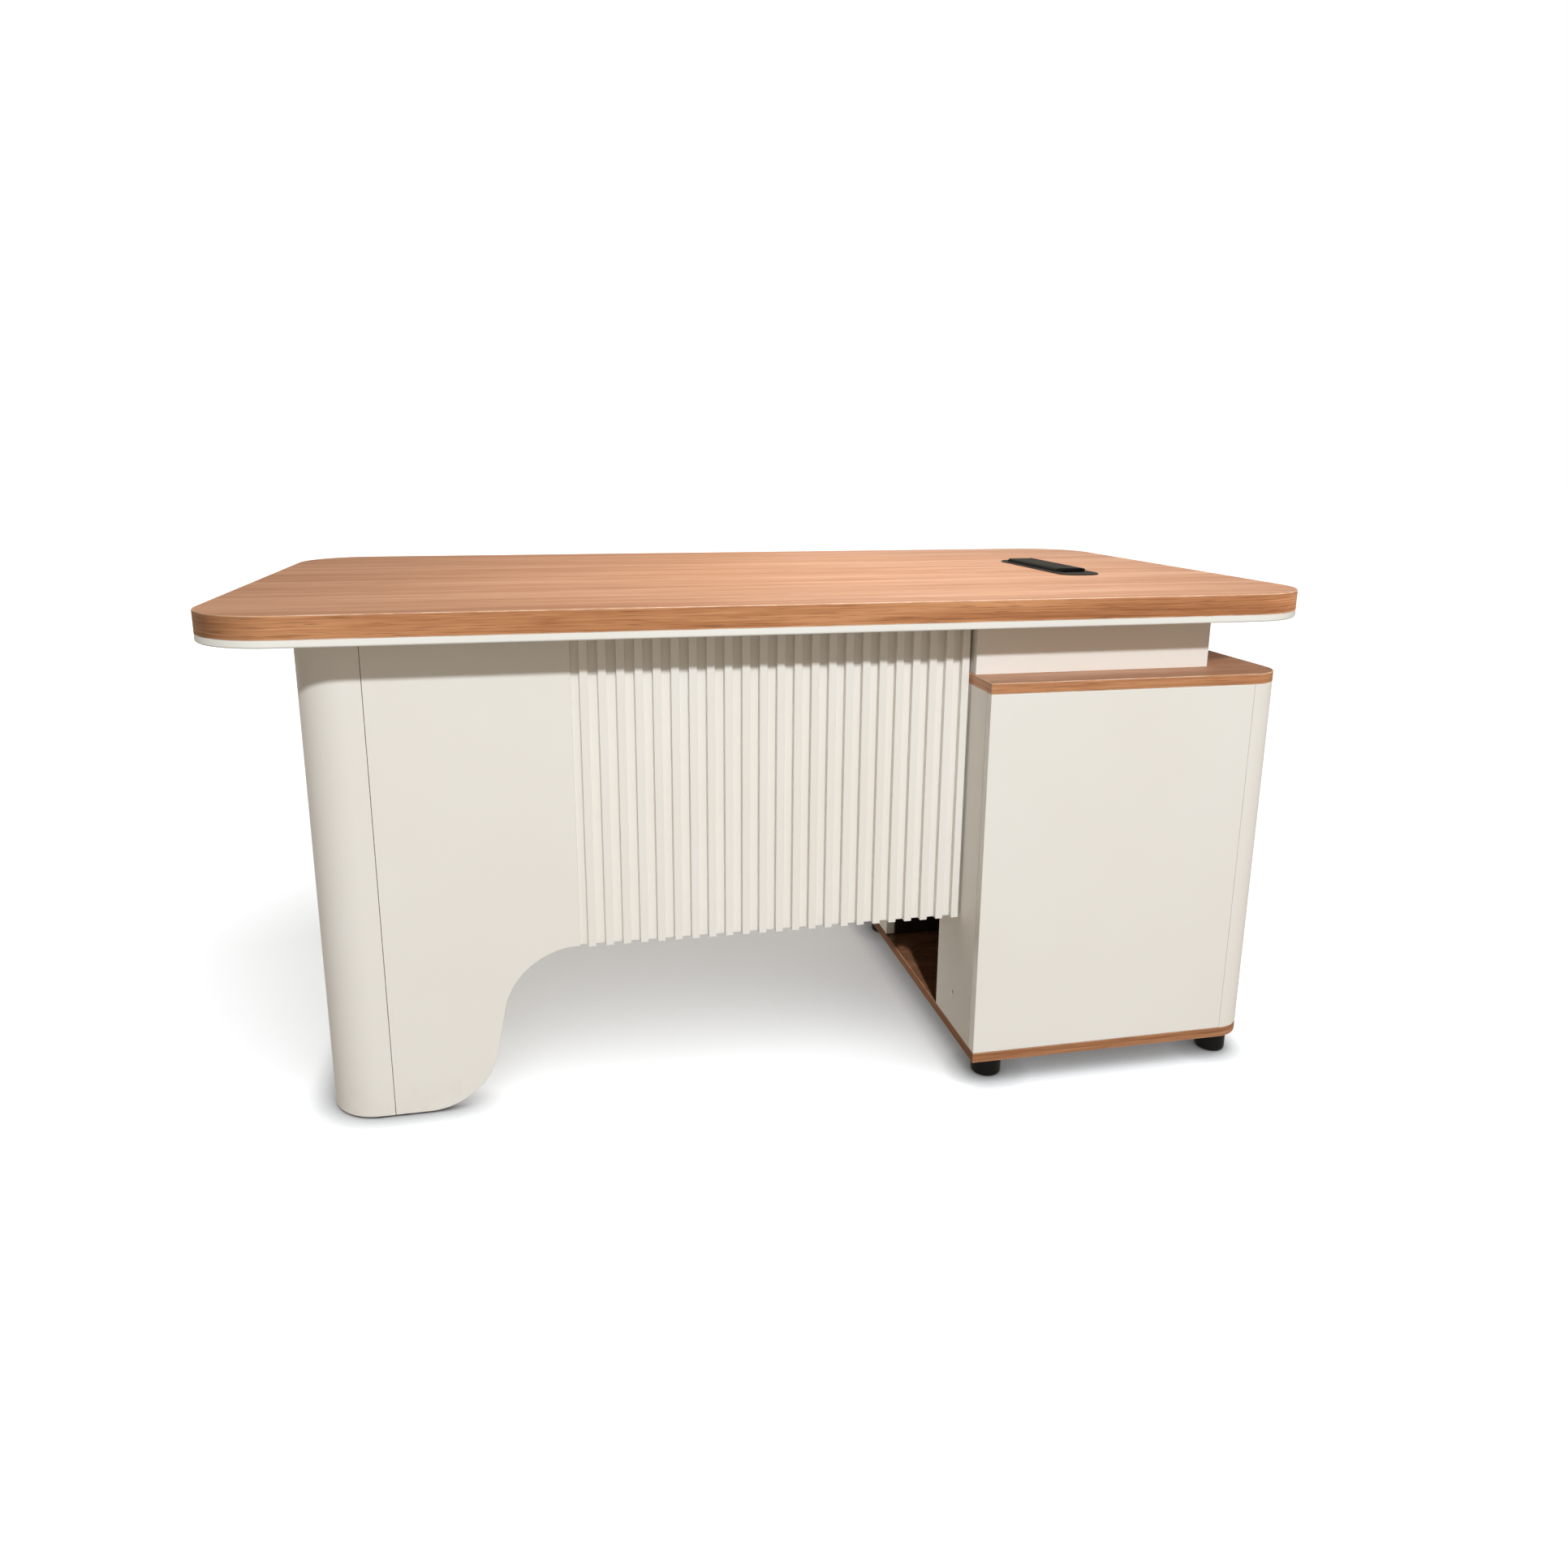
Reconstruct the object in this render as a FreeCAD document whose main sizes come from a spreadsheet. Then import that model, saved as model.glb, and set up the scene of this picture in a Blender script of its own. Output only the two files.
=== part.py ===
import FreeCAD, Part
import os
import re
import Sketcher

# Office desk with a slatted modesty panel on the visitor's side and a side cabinet under one end.
# Millimetres. +X runs along the desktop, -Y faces the visitor, +Y faces the sitter, +Z is up.
# The origin lies on the floor, under the middle of the whole desk.

# Driving dimensions, one row of the sheet each.
SIZES = {
    # Desktop
    "desk_height": 750,
    "desk_length": 1545,
    "desk_depth": 840,
    "desk_corner": 110,
    "top_board": 30,
    "top_arris": 1.2,
    "underlay_board": 10,
    "underlay_round": 3,
    # Left leg: curved corner post, plain front panel with an S-cut, side panel
    "leg_overhang": 98,
    "rear_overhang": 112,
    "modesty_setback": 112,
    "leg_board": 18,
    "leg_gap": 3,
    "post_radius": 72,
    "post_flat": 21.5,
    "foot_corner": 132,
    "foot_radius": 102,
    "arch_height": 244,
    "arch_lean": 48,
    "arch_radius": 108,
    "arch_land": 4,
    "glide_diameter": 14,
    "glide_inset": 45,
    # Slatted panel
    "slat_count": 23,
    "slat_width": 11.4,
    "slat_depth": 10,
    "slat_proud": 5,
    "slat_arris": 0.8,
    "slat_lead": 11.7,
    "slat_end_gap": 3.9,
    "backing_board": 16,
    "batten_width": 20,
    "batten_height": 30,
    # Steel angle brackets under the top
    "bracket_leg": 30,
    "bracket_wall": 2,
    "bracket_width": 26,
    "bracket_inset": 110,
    # Side cabinet
    "cab_overhang": 32,
    "cab_setback": 31.5,
    "cab_width": 468,
    "cab_length": 1150,
    "cab_board": 16,
    "cab_corner": 50,
    "cab_corner_flat": 2,
    "foot_height": 37,
    "foot_diameter": 46,
    "foot_inset": 39,
    "foot_round": 3,
    "filler_length": 162.5,
    "spare_hole_height": 108,
    "spare_hole_diameter": 8,
    "niche_width": 270,
    "bank_width": 371,
    "reveal": 1.5,
    "front_gap": 1,
    "finger_gap": 20,
    "finger_bevel": 10,
    # Drawers on side runners
    "drawer_side": 12,
    "drawer_base": 5,
    "drawer_base_lift": 8,
    "box_rear_gap": 36,
    "box_height": 110,
    "box_lift": 16,
    "runner_width": 13,
    "runner_height": 40,
    "runner_wall": 1.5,
    "runner_flange": 10,
    "runner_play": 0.6,
    # Door on pivots, and the shelf behind it
    "door_gap": 3,
    "pivot_diameter": 6,
    "pivot_play": 0.1,
    "pivot_inset": 12,
    "pivot_depth": 12,
    "pivot_collar": 10,
    "pivot_collar_gap": 0.3,
    "pivot_plate": 1.5,
    "pivot_plate_length": 24,
    "shelf_height": 330,
    "shelf_setback": 24,
    "shelf_play": 0.5,
    "peg_diameter": 5,
    "peg_length": 9,
    "peg_inset": 40,
    # Riser between cabinet and top
    "riser_height": 82,
    "riser_inset": 2,
    "riser_width": 374,
    "riser_setback": 96,
    # Cable box let into the top
    "cable_inset_x": 98,
    "cable_inset_y": 423,
    "cable_length": 280,
    "cable_width": 70,
    "cable_end_flat": 14,
    "cable_plate": 2,
    "cable_arris": 0.8,
    "cable_outlet": 18,
    "throat_length": 205,
    "throat_width": 38,
    "throat_wall": 2,
    "throat_play": 0.5,
    "throat_tail": 6,
    "lid_lap": 6,
    "lid_end_lap": 9,
    "lid_thickness": 4.5,
    "lid_bevel": 3,
    "lid_gap": 0.3,
    "lid_pin_diameter": 2.4,
    "lid_pin_play": 0.1,
    "lid_pin_grip": 8,
    "lid_ear_length": 6,
    "lid_end_gap": 0.5,
}

DRAWERS = 3

# Places that several pieces share, as sums of the sizes above.
LEFT = "(-desk_length / 2)"
RIGHT = "(desk_length / 2)"
FRONT = "(-(cab_setback + cab_length) / 2)"
TOP_BOTTOM = "(desk_height - top_board)"
UNDERSIDE = "(desk_height - top_board - underlay_board)"

LEG_X = f"({LEFT} + leg_overhang)"
PANEL_Y = f"({FRONT} + modesty_setback)"
BACK_Y = f"({FRONT} + desk_depth - rear_overhang)"
SEAM_X = f"({LEG_X} + post_radius + post_flat)"
LEG_HEIGHT = f"({UNDERSIDE} - leg_gap)"
ARCH_RISE = "(arch_height - leg_gap)"
ARCH_RUN = f"(arch_radius * tan(atan({ARCH_RISE} / arch_lean) / 2))"
PLAIN_WIDTH = f"(foot_corner + arch_lean + {ARCH_RUN} + arch_land)"
SLATS_X = f"({SEAM_X} + {PLAIN_WIDTH})"

CAB_X = f"({RIGHT} - cab_overhang - cab_width)"
CAB_END_X = f"({RIGHT} - cab_overhang)"
CAB_Y = f"({FRONT} + cab_setback)"
CAB_END_Y = f"({CAB_Y} + cab_length)"
FLOOR_Z = "(foot_height + cab_board)"
CAB_HEIGHT = f"({UNDERSIDE} - riser_height)"
CEILING_Z = f"({CAB_HEIGHT} - cab_board)"
INNER_HEIGHT = f"({CEILING_Z} - {FLOOR_Z})"
FRONT_BACK_X = f"({CAB_X} + cab_board)"
CARCASE_X = f"({FRONT_BACK_X} + front_gap)"
CARCASE_DEPTH = f"({CAB_END_X} - cab_board - {CARCASE_X})"

NICHE_Y = f"({CAB_Y} + filler_length)"
NICHE_END_Y = f"({NICHE_Y} + niche_width)"
BANK_Y = f"({NICHE_END_Y} + cab_board)"
BANK_END_Y = f"({BANK_Y} + bank_width)"
DOOR_BAY_Y = f"({BANK_END_Y} + cab_board)"
REAR_INNER_Y = f"({CAB_END_Y} - cab_board)"
FRONTS_Y = f"({NICHE_END_Y} + reveal)"
FRONTS_END_Y = f"({BANK_END_Y} + cab_board / 2 - reveal)"
DOOR_Y = f"({BANK_END_Y} + cab_board / 2 + reveal)"
DOOR_END_Y = f"({REAR_INNER_Y} - door_gap)"
BOX_DEPTH = f"({CAB_END_X} - cab_board - {FRONT_BACK_X} - box_rear_gap)"
RUNNER_LENGTH = f"({BOX_DEPTH} - front_gap)"
DRAWER_PITCH = f"(({INNER_HEIGHT} - reveal) / {DRAWERS})"
FRONT_HEIGHT = f"({DRAWER_PITCH} - finger_gap)"
DOOR_Z = f"({FLOOR_Z} + door_gap)"
DOOR_HEIGHT = f"({INNER_HEIGHT} - door_gap - finger_gap)"
PIVOT_X = f"({CAB_X} + cab_board / 2)"
PIVOT_Y = f"({DOOR_END_Y} - pivot_inset)"

RISER_X = f"({CAB_X} + riser_inset)"
RISER_Y = f"({FRONT} + riser_setback)"
RISER_SIDE_Y = f"({RISER_Y} + cab_board)"

CABLE_X = f"({RISER_X} + riser_width - cab_board - cable_inset_x)"
CABLE_Y = f"({FRONT} + cable_inset_y)"
CUTOUT_GROWTH = "(2 * throat_wall + 2 * throat_play)"
LID_WIDTH = "(throat_width + 2 * lid_lap)"
LID_LENGTH = "(throat_length - cable_outlet + lid_end_lap)"
LID_Y = f"({CABLE_Y} - throat_length / 2 + cable_outlet)"
LID_END_Y = f"({LID_Y} + {LID_LENGTH})"
LID_AXIS_X = f"({CABLE_X} + {LID_WIDTH} / 2 - lid_thickness / 2)"
LID_AXIS_Z = "(desk_height + cable_plate + lid_gap + lid_thickness / 2)"

doc = FreeCAD.newDocument("desk")
sheet = doc.addObject("Spreadsheet::Sheet", "Sizes")
for row, (alias, number) in enumerate(SIZES.items(), start=1):
    sheet.set(f"A{row}", alias)
    sheet.set(f"B{row}", str(number))
    sheet.setAlias(f"B{row}", alias)
doc.recompute()

ALIAS = re.compile(r"\b(" + "|".join(SIZES) + r")\b")
nodes = []


def bind(target, prop, text):
    """Tie a property to the sheet; the words in text are names of sizes."""
    target.setExpression(prop, ALIAS.sub(r"Sizes.\1", text))


def value(text):
    """The present number of a sum of sizes."""
    return float(sheet.evalExpression(text))


def place(target, x, y, z):
    """Tie the position of an object to the sheet."""
    for axis, text in zip("xyz", (x, y, z)):
        bind(target, f"Placement.Base.{axis}", text)


def node(target, label):
    """Name a finished sub-part and put it on the list to write."""
    target.Label = label
    nodes.append(target)
    return target


def box(name, corner, extent):
    """A flat board, from its lowest corner and its length, width and height."""
    board = doc.addObject("Part::Box", name)
    for prop, text in zip(("Length", "Width", "Height"), extent):
        bind(board, prop, text)
    place(board, *corner)
    return board


def rod(name, corner, diameter, length, direction=None):
    """A round rod from the middle of its first end, upright unless a rotation is given."""
    pin = doc.addObject("Part::Cylinder", name)
    bind(pin, "Radius", f"({diameter}) / 2")
    bind(pin, "Height", length)
    if direction is not None:
        pin.Placement = FreeCAD.Placement(FreeCAD.Vector(), direction)
    place(pin, *corner)
    return pin


def group(name, members):
    """Several like solids that share one node."""
    bundle = doc.addObject("Part::Compound", name)
    bundle.Links = members
    return bundle


def new_body(name, corner):
    """An empty body whose local origin sits at the given place."""
    body = doc.addObject("PartDesign::Body", name)
    place(body, *corner)
    return body


def polygon(body, plane, corners):
    """A closed sketch of straight lines through corners given as pairs of sums."""
    sketch = body.newObject("Sketcher::SketchObject", f"{body.Name}_sketch")
    support = next(item for item in body.Origin.OriginFeatures if item.Role == plane)
    sketch.AttachmentSupport = [(support, "")]
    sketch.MapMode = "FlatFace"
    spots = [FreeCAD.Vector(value(x), value(y), 0) for x, y in corners]
    for start, end in zip(spots, spots[1:] + spots[:1]):
        sketch.addGeometry(Part.LineSegment(start, end), False)
    count = len(spots)
    for index in range(count):
        sketch.addConstraint(Sketcher.Constraint("Coincident", index, 2, (index + 1) % count, 1))
    for index, (spot, pair) in enumerate(zip(spots, corners)):
        for kind, number, text in zip(("DistanceX", "DistanceY"), (spot.x, spot.y), pair):
            rule = sketch.addConstraint(Sketcher.Constraint(kind, -1, 1, index, 1, number))
            sketch.renameConstraint(rule, f"{kind}_{index}")
            bind(sketch, f"Constraints.{kind}_{index}", text)
    return sketch


def rectangle(body, plane, wide, high):
    """A rectangle sketch about the local origin."""
    x = f"({wide}) / 2"
    y = f"({high}) / 2"
    return polygon(body, plane, [(f"-{x}", f"-{y}"), (x, f"-{y}"), (x, y), (f"-{x}", y)])


def pad(body, sketch, length, backwards=False, midplane=False):
    """Raise a sketch to a solid."""
    raised = body.newObject("PartDesign::Pad", f"{sketch.Name}_pad")
    raised.Profile = sketch
    bind(raised, "Length", length)
    raised.Reversed = backwards
    raised.SideType = "Symmetric" if midplane else "One side"
    doc.recompute()
    return raised


def through_pocket(body, sketch):
    """Cut a sketch right through the body, both ways."""
    before = body.Shape.Volume
    cut = body.newObject("PartDesign::Pocket", f"{sketch.Name}_pocket")
    cut.Profile = sketch
    cut.Type = "ThroughAll"
    cut.SideType = "Symmetric"
    doc.recompute()
    if body.Shape.Volume >= before:
        raise RuntimeError(f"{body.Label}: the pocket cut nothing")
    return cut


def dress(body, kind, rule, size):
    """Fillet or chamfer the edges of the body's last feature that a rule picks."""
    base = body.Tip
    names = [f"Edge{number}" for number, edge in enumerate(base.Shape.Edges, start=1) if rule(edge)]
    trim = body.newObject(f"PartDesign::{kind}", f"{base.Name}_{kind}")
    trim.Base = (base, names)
    bind(trim, "Radius" if kind == "Fillet" else "Size", size)
    doc.recompute()
    return trim


def near(first, second):
    """Whether two lengths are equal but for rounding."""
    return abs(first - second) < 1e-4


def upright(edge):
    """Whether an edge is a straight line along Z."""
    span = edge.BoundBox
    return near(span.XLength, 0) and near(span.YLength, 0)


def upright_at(x, y):
    """A rule for the upright edge at one spot."""
    return lambda edge: upright(edge) and near(edge.BoundBox.XMin, x) and near(edge.BoundBox.YMin, y)


def level(height):
    """A rule for the edges that lie flat at one height."""
    return lambda edge: near(edge.BoundBox.ZMin, height) and near(edge.BoundBox.ZMax, height)


def rounded_plate(name, corner, wide, deep, thick, radius):
    """A flat plate about its middle, with upright corners rounded alike."""
    body = new_body(name, corner)
    pad(body, rectangle(body, "XY_Plane", wide, deep), thick)
    dress(body, "Fillet", upright, radius)
    return body


def cable_cutout(body, plate_x, plate_y):
    """Cut the opening for the cable box through a plate that has its middle at the given place."""
    wide = f"(throat_width + {CUTOUT_GROWTH}) / 2"
    long = f"(throat_length + {CUTOUT_GROWTH}) / 2"
    x = f"({CABLE_X} - {plate_x})"
    y = f"({CABLE_Y} - {plate_y})"
    corners = [
        (f"{x} - {wide}", f"{y} - {long}"),
        (f"{x} + {wide}", f"{y} - {long}"),
        (f"{x} + {wide}", f"{y} + {long}"),
        (f"{x} - {wide}", f"{y} + {long}"),
    ]
    through_pocket(body, polygon(body, "XY_Plane", corners))


def build_desktop():
    """The wood board and the thin white board under it, both cut for the cable box."""
    middle_y = f"({FRONT} + desk_depth / 2)"
    top = rounded_plate(
        "desktop_board",
        ("0", middle_y, TOP_BOTTOM),
        "desk_length",
        "desk_depth",
        "top_board",
        "desk_corner",
    )
    dress(top, "Fillet", level(value("top_board")), "top_arris")
    cable_cutout(top, "0", middle_y)
    node(top, "desktop_board")

    under = rounded_plate(
        "desktop_underlay",
        ("0", middle_y, UNDERSIDE),
        "desk_length",
        "desk_depth",
        "underlay_board",
        "desk_corner",
    )
    dress(under, "Fillet", level(0), "underlay_round")
    cable_cutout(under, "0", middle_y)
    node(under, "desktop_underlay")


def corner_post(label, corner, radius, flat, wall, height, turn):
    """A bent corner piece: two flats joined by a round of the given outer radius."""
    body = new_body(label, corner)
    body.Placement.Rotation = FreeCAD.Rotation(FreeCAD.Vector(0, 0, 1), turn)
    arm = f"({radius} + {flat})"
    outline = [("0", "0"), (arm, "0"), (arm, wall), (wall, wall), (wall, arm), ("0", arm)]
    pad(body, polygon(body, "XY_Plane", outline), height)
    inner = value(wall)
    dress(body, "Fillet", upright_at(0, 0), radius)
    dress(body, "Fillet", upright_at(inner, inner), f"{radius} - {wall}")
    node(body, label)


def build_leg():
    """The left leg: curved post, plain front panel with the S-cut, side panel and glides."""
    corner_post(
        "leg_corner_post",
        (LEG_X, PANEL_Y, "leg_gap"),
        "post_radius",
        "post_flat",
        "leg_board",
        LEG_HEIGHT,
        0,
    )

    panel = new_body("leg_front_panel", (SEAM_X, PANEL_Y, "leg_gap"))
    outline = [
        ("0", "0"),
        ("foot_corner", "0"),
        ("foot_corner + arch_lean", ARCH_RISE),
        (PLAIN_WIDTH, ARCH_RISE),
        (PLAIN_WIDTH, LEG_HEIGHT),
        ("0", LEG_HEIGHT),
    ]
    pad(panel, polygon(panel, "XZ_Plane", outline), "leg_board", backwards=True)

    def crossing(x, z):
        """A rule for the edge across the board's thickness at one spot of its face."""
        spot_x = value(x)
        spot_z = value(z)
        return lambda edge: (
            near(edge.BoundBox.XLength, 0)
            and near(edge.BoundBox.ZLength, 0)
            and near(edge.BoundBox.XMin, spot_x)
            and near(edge.BoundBox.ZMin, spot_z)
        )

    dress(panel, "Fillet", crossing("foot_corner", "0"), "foot_radius")
    dress(panel, "Fillet", crossing("foot_corner + arch_lean", ARCH_RISE), "arch_radius")
    node(panel, "leg_front_panel")

    side_y = f"({PANEL_Y} + post_radius + post_flat)"
    side = box(
        "leg_side_panel",
        (LEG_X, side_y, "leg_gap"),
        ("leg_board", f"{BACK_Y} - {side_y}", LEG_HEIGHT),
    )
    node(side, "leg_side_panel")

    wall_middle_x = f"{LEG_X} + leg_board / 2"
    wall_middle_y = f"{PANEL_Y} + leg_board / 2"
    spots = [
        (f"{LEG_X} + post_radius", wall_middle_y),
        (f"{SEAM_X} + glide_diameter", wall_middle_y),
        (wall_middle_x, f"{side_y} + glide_inset"),
        (wall_middle_x, f"{BACK_Y} - glide_inset"),
    ]
    glides = [
        rod(f"leg_glide_{index}", (x, y, "0"), "glide_diameter", "leg_gap")
        for index, (x, y) in enumerate(spots, start=1)
    ]
    node(group("leg_glides", glides), "leg_glides")


def build_slatted_panel():
    """The modesty panel: a backing board with a row of upright slats on its visitor's side."""
    backing_y = f"({PANEL_Y} - slat_proud + slat_depth)"
    field = f"({CAB_X} - {SLATS_X})"
    height = f"({UNDERSIDE} - arch_height)"
    backing = box(
        "modesty_backing_board",
        (SLATS_X, backing_y, "arch_height"),
        (field, "backing_board", height),
    )
    node(backing, "modesty_backing_board")

    slats = new_body("tambour_slats", (f"{SLATS_X} + slat_lead", f"{PANEL_Y} - slat_proud", "arch_height"))
    slats.AllowCompound = True
    outline = [
        ("slat_arris", "0"),
        ("slat_width - slat_arris", "0"),
        ("slat_width", "slat_arris"),
        ("slat_width", "slat_depth"),
        ("0", "slat_depth"),
        ("0", "slat_arris"),
    ]
    first = pad(slats, polygon(slats, "XY_Plane", outline), height)
    row = slats.newObject("PartDesign::LinearPattern", "slat_row")
    row.Originals = [first]
    row.Direction = (next(item for item in slats.Origin.OriginFeatures if item.Role == "X_Axis"), [""])
    bind(row, "Length", f"{field} - slat_lead - slat_width - slat_end_gap")
    bind(row, "Occurrences", "slat_count")
    slats.Tip = row
    doc.recompute()
    node(slats, "tambour_slats")

    batten = box(
        "modesty_top_batten",
        (SLATS_X, f"{backing_y} + backing_board", f"{UNDERSIDE} - batten_height"),
        (field, "batten_width", "batten_height"),
    )
    node(batten, "modesty_top_batten")


def angle_bracket(name, x, y, turn):
    """A steel angle hung under the top, its upright leg against the panel at the given place."""
    body = new_body(name, (x, y, UNDERSIDE))
    body.Placement.Rotation = FreeCAD.Rotation(FreeCAD.Vector(0, 0, 1), turn)
    outline = [
        ("0", "-bracket_leg"),
        ("bracket_wall", "-bracket_leg"),
        ("bracket_wall", "-bracket_wall"),
        ("bracket_leg", "-bracket_wall"),
        ("bracket_leg", "0"),
        ("0", "0"),
    ]
    pad(body, polygon(body, "XZ_Plane", outline), "bracket_width", midplane=True)
    return body


def build_brackets():
    """Angles that hold the top to the leg and to the riser."""
    leg_face = f"{LEG_X} + leg_board"
    riser_inner_face = f"{RISER_X} + cab_board"
    riser_outer_face = f"{RISER_X} + riser_width - cab_board"
    near_y = f"{RISER_SIDE_Y} + bracket_inset"
    far_y = f"{BACK_Y} - bracket_inset"
    panel_back = f"{PANEL_Y} + leg_board"
    places = [
        (leg_face, near_y, 0),
        (leg_face, far_y, 0),
        (riser_inner_face, near_y, 0),
        (riser_inner_face, far_y, 0),
        (riser_outer_face, near_y, 180),
        (riser_outer_face, far_y, 180),
        (f"{SEAM_X} + bracket_width", panel_back, 90),
        (f"{SLATS_X} - bracket_width", panel_back, 90),
    ]
    angles = [angle_bracket(f"bracket_{index}", *spot) for index, spot in enumerate(places, start=1)]
    node(group("angle_brackets", angles), "angle_brackets")


def cabinet_board(label, z):
    """A wood board of the cabinet, with the visitor's outer corner rounded."""
    body = new_body(label, (f"({CAB_X} + {CAB_END_X}) / 2", f"({CAB_Y} + {CAB_END_Y}) / 2", z))
    pad(body, rectangle(body, "XY_Plane", "cab_width", "cab_length"), "cab_board")
    outer_corner = upright_at(value("cab_width / 2"), value("-cab_length / 2"))
    dress(body, "Fillet", outer_corner, "cab_corner")
    node(body, label)


def turned_foot(name, x, y):
    """A round cabinet foot, rounded a little where it meets the floor."""
    foot = new_body(name, (x, y, "0"))
    round_plate = polygon(
        foot,
        "XZ_Plane",
        [
            ("0", "0"),
            ("foot_diameter / 2 - foot_round", "0"),
            ("foot_diameter / 2", "foot_round"),
            ("foot_diameter / 2", "foot_height"),
            ("0", "foot_height"),
        ],
    )
    turned = foot.newObject("PartDesign::Revolution", f"{name}_turned")
    turned.Profile = round_plate
    turned.ReferenceAxis = (round_plate, ["V_Axis"])
    turned.Angle = 360
    doc.recompute()
    return foot


def build_cabinet():
    """The cabinet's shell, its inner walls and its feet."""
    cabinet_board("cabinet_bottom_board", "foot_height")
    cabinet_board("cabinet_top_board", CEILING_Z)

    front_width = "cab_width - cab_corner - cab_corner_flat"
    node(
        box("cabinet_front_panel", (CAB_X, CAB_Y, FLOOR_Z), (front_width, "cab_board", INNER_HEIGHT)),
        "cabinet_front_panel",
    )
    corner_post(
        "cabinet_corner_post",
        (CAB_END_X, CAB_Y, FLOOR_Z),
        "cab_corner",
        "cab_corner_flat",
        "cab_board",
        INNER_HEIGHT,
        90,
    )
    outer_y = f"({CAB_Y} + cab_corner + cab_corner_flat)"
    node(
        box(
            "cabinet_outer_panel",
            (f"{CAB_END_X} - cab_board", outer_y, FLOOR_Z),
            ("cab_board", f"{REAR_INNER_Y} - {outer_y}", INNER_HEIGHT),
        ),
        "cabinet_outer_panel",
    )
    node(
        box("cabinet_rear_panel", (CAB_X, REAR_INNER_Y, FLOOR_Z), ("cab_width", "cab_board", INNER_HEIGHT)),
        "cabinet_rear_panel",
    )

    filler = box(
        "filler_blank",
        (CAB_X, f"{CAB_Y} + cab_board", FLOOR_Z),
        ("cab_board", "filler_length - cab_board", INNER_HEIGHT),
    )
    along_x = FreeCAD.Rotation(FreeCAD.Vector(0, 1, 0), 90)
    hole_y = f"{PANEL_Y} - slat_proud + slat_depth + backing_board / 2"
    hole = (CAB_X, hole_y, "spare_hole_height")
    drill = rod("filler_drill", hole, "spare_hole_diameter", "cab_board", along_x)
    drilled = doc.addObject("Part::Cut", "cabinet_filler_panel")
    drilled.Base = filler
    drilled.Tool = drill
    node(drilled, "cabinet_filler_panel")

    walls = {
        "niche_front_partition": f"{NICHE_Y} - cab_board",
        "niche_rear_partition": NICHE_END_Y,
        "bay_divider": BANK_END_Y,
    }
    for label, y in walls.items():
        wall = box(label, (CARCASE_X, y, FLOOR_Z), (CARCASE_DEPTH, "cab_board", INNER_HEIGHT))
        node(wall, label)

    rows = [f"{CAB_Y} + foot_inset", f"({CAB_Y} + {CAB_END_Y}) / 2", f"{CAB_END_Y} - foot_inset"]
    columns = [f"{CAB_X} + foot_inset", f"{CAB_END_X} - foot_inset"]
    feet = []
    for y in rows:
        for x in columns:
            feet.append(turned_foot(f"cabinet_foot_{len(feet) + 1}", x, y))
    node(group("cabinet_feet", feet), "cabinet_feet")


def runner_pair(name, x, z, length, web, flange, height):
    """Two runner members that face each other across the drawer bank, as thin channels."""
    web_at, web_to = web
    flange_at, flange_to = flange
    members = []
    for index, (origin, turn) in enumerate(((BANK_Y, 1), (BANK_END_Y, -1)), start=1):
        body = new_body(f"{name}_{index}", (x, origin, z))
        lower = f"{height} / 2"
        inner = f"({height} / 2 - runner_wall)"
        sign = "" if turn > 0 else "-"
        outline = [
            (f"{sign}{web_at}", f"-{lower}"),
            (f"{sign}{flange_to}", f"-{lower}"),
            (f"{sign}{flange_to}", f"-{inner}"),
            (f"{sign}{web_to}", f"-{inner}"),
            (f"{sign}{web_to}", inner),
            (f"{sign}{flange_to}", inner),
            (f"{sign}{flange_to}", lower),
            (f"{sign}{web_at}", lower),
        ]
        pad(body, polygon(body, "YZ_Plane", outline), length)
        members.append(body)
    return members


def drawer_bottom(index):
    """Height of a drawer front's lower edge; drawers count from the lowest."""
    return f"({FLOOR_Z} + reveal + {index} * {DRAWER_PITCH})"


def runner_z(index):
    """Height of the middle of a drawer's runners."""
    return f"({drawer_bottom(index)} + box_lift + box_height / 2)"


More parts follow.
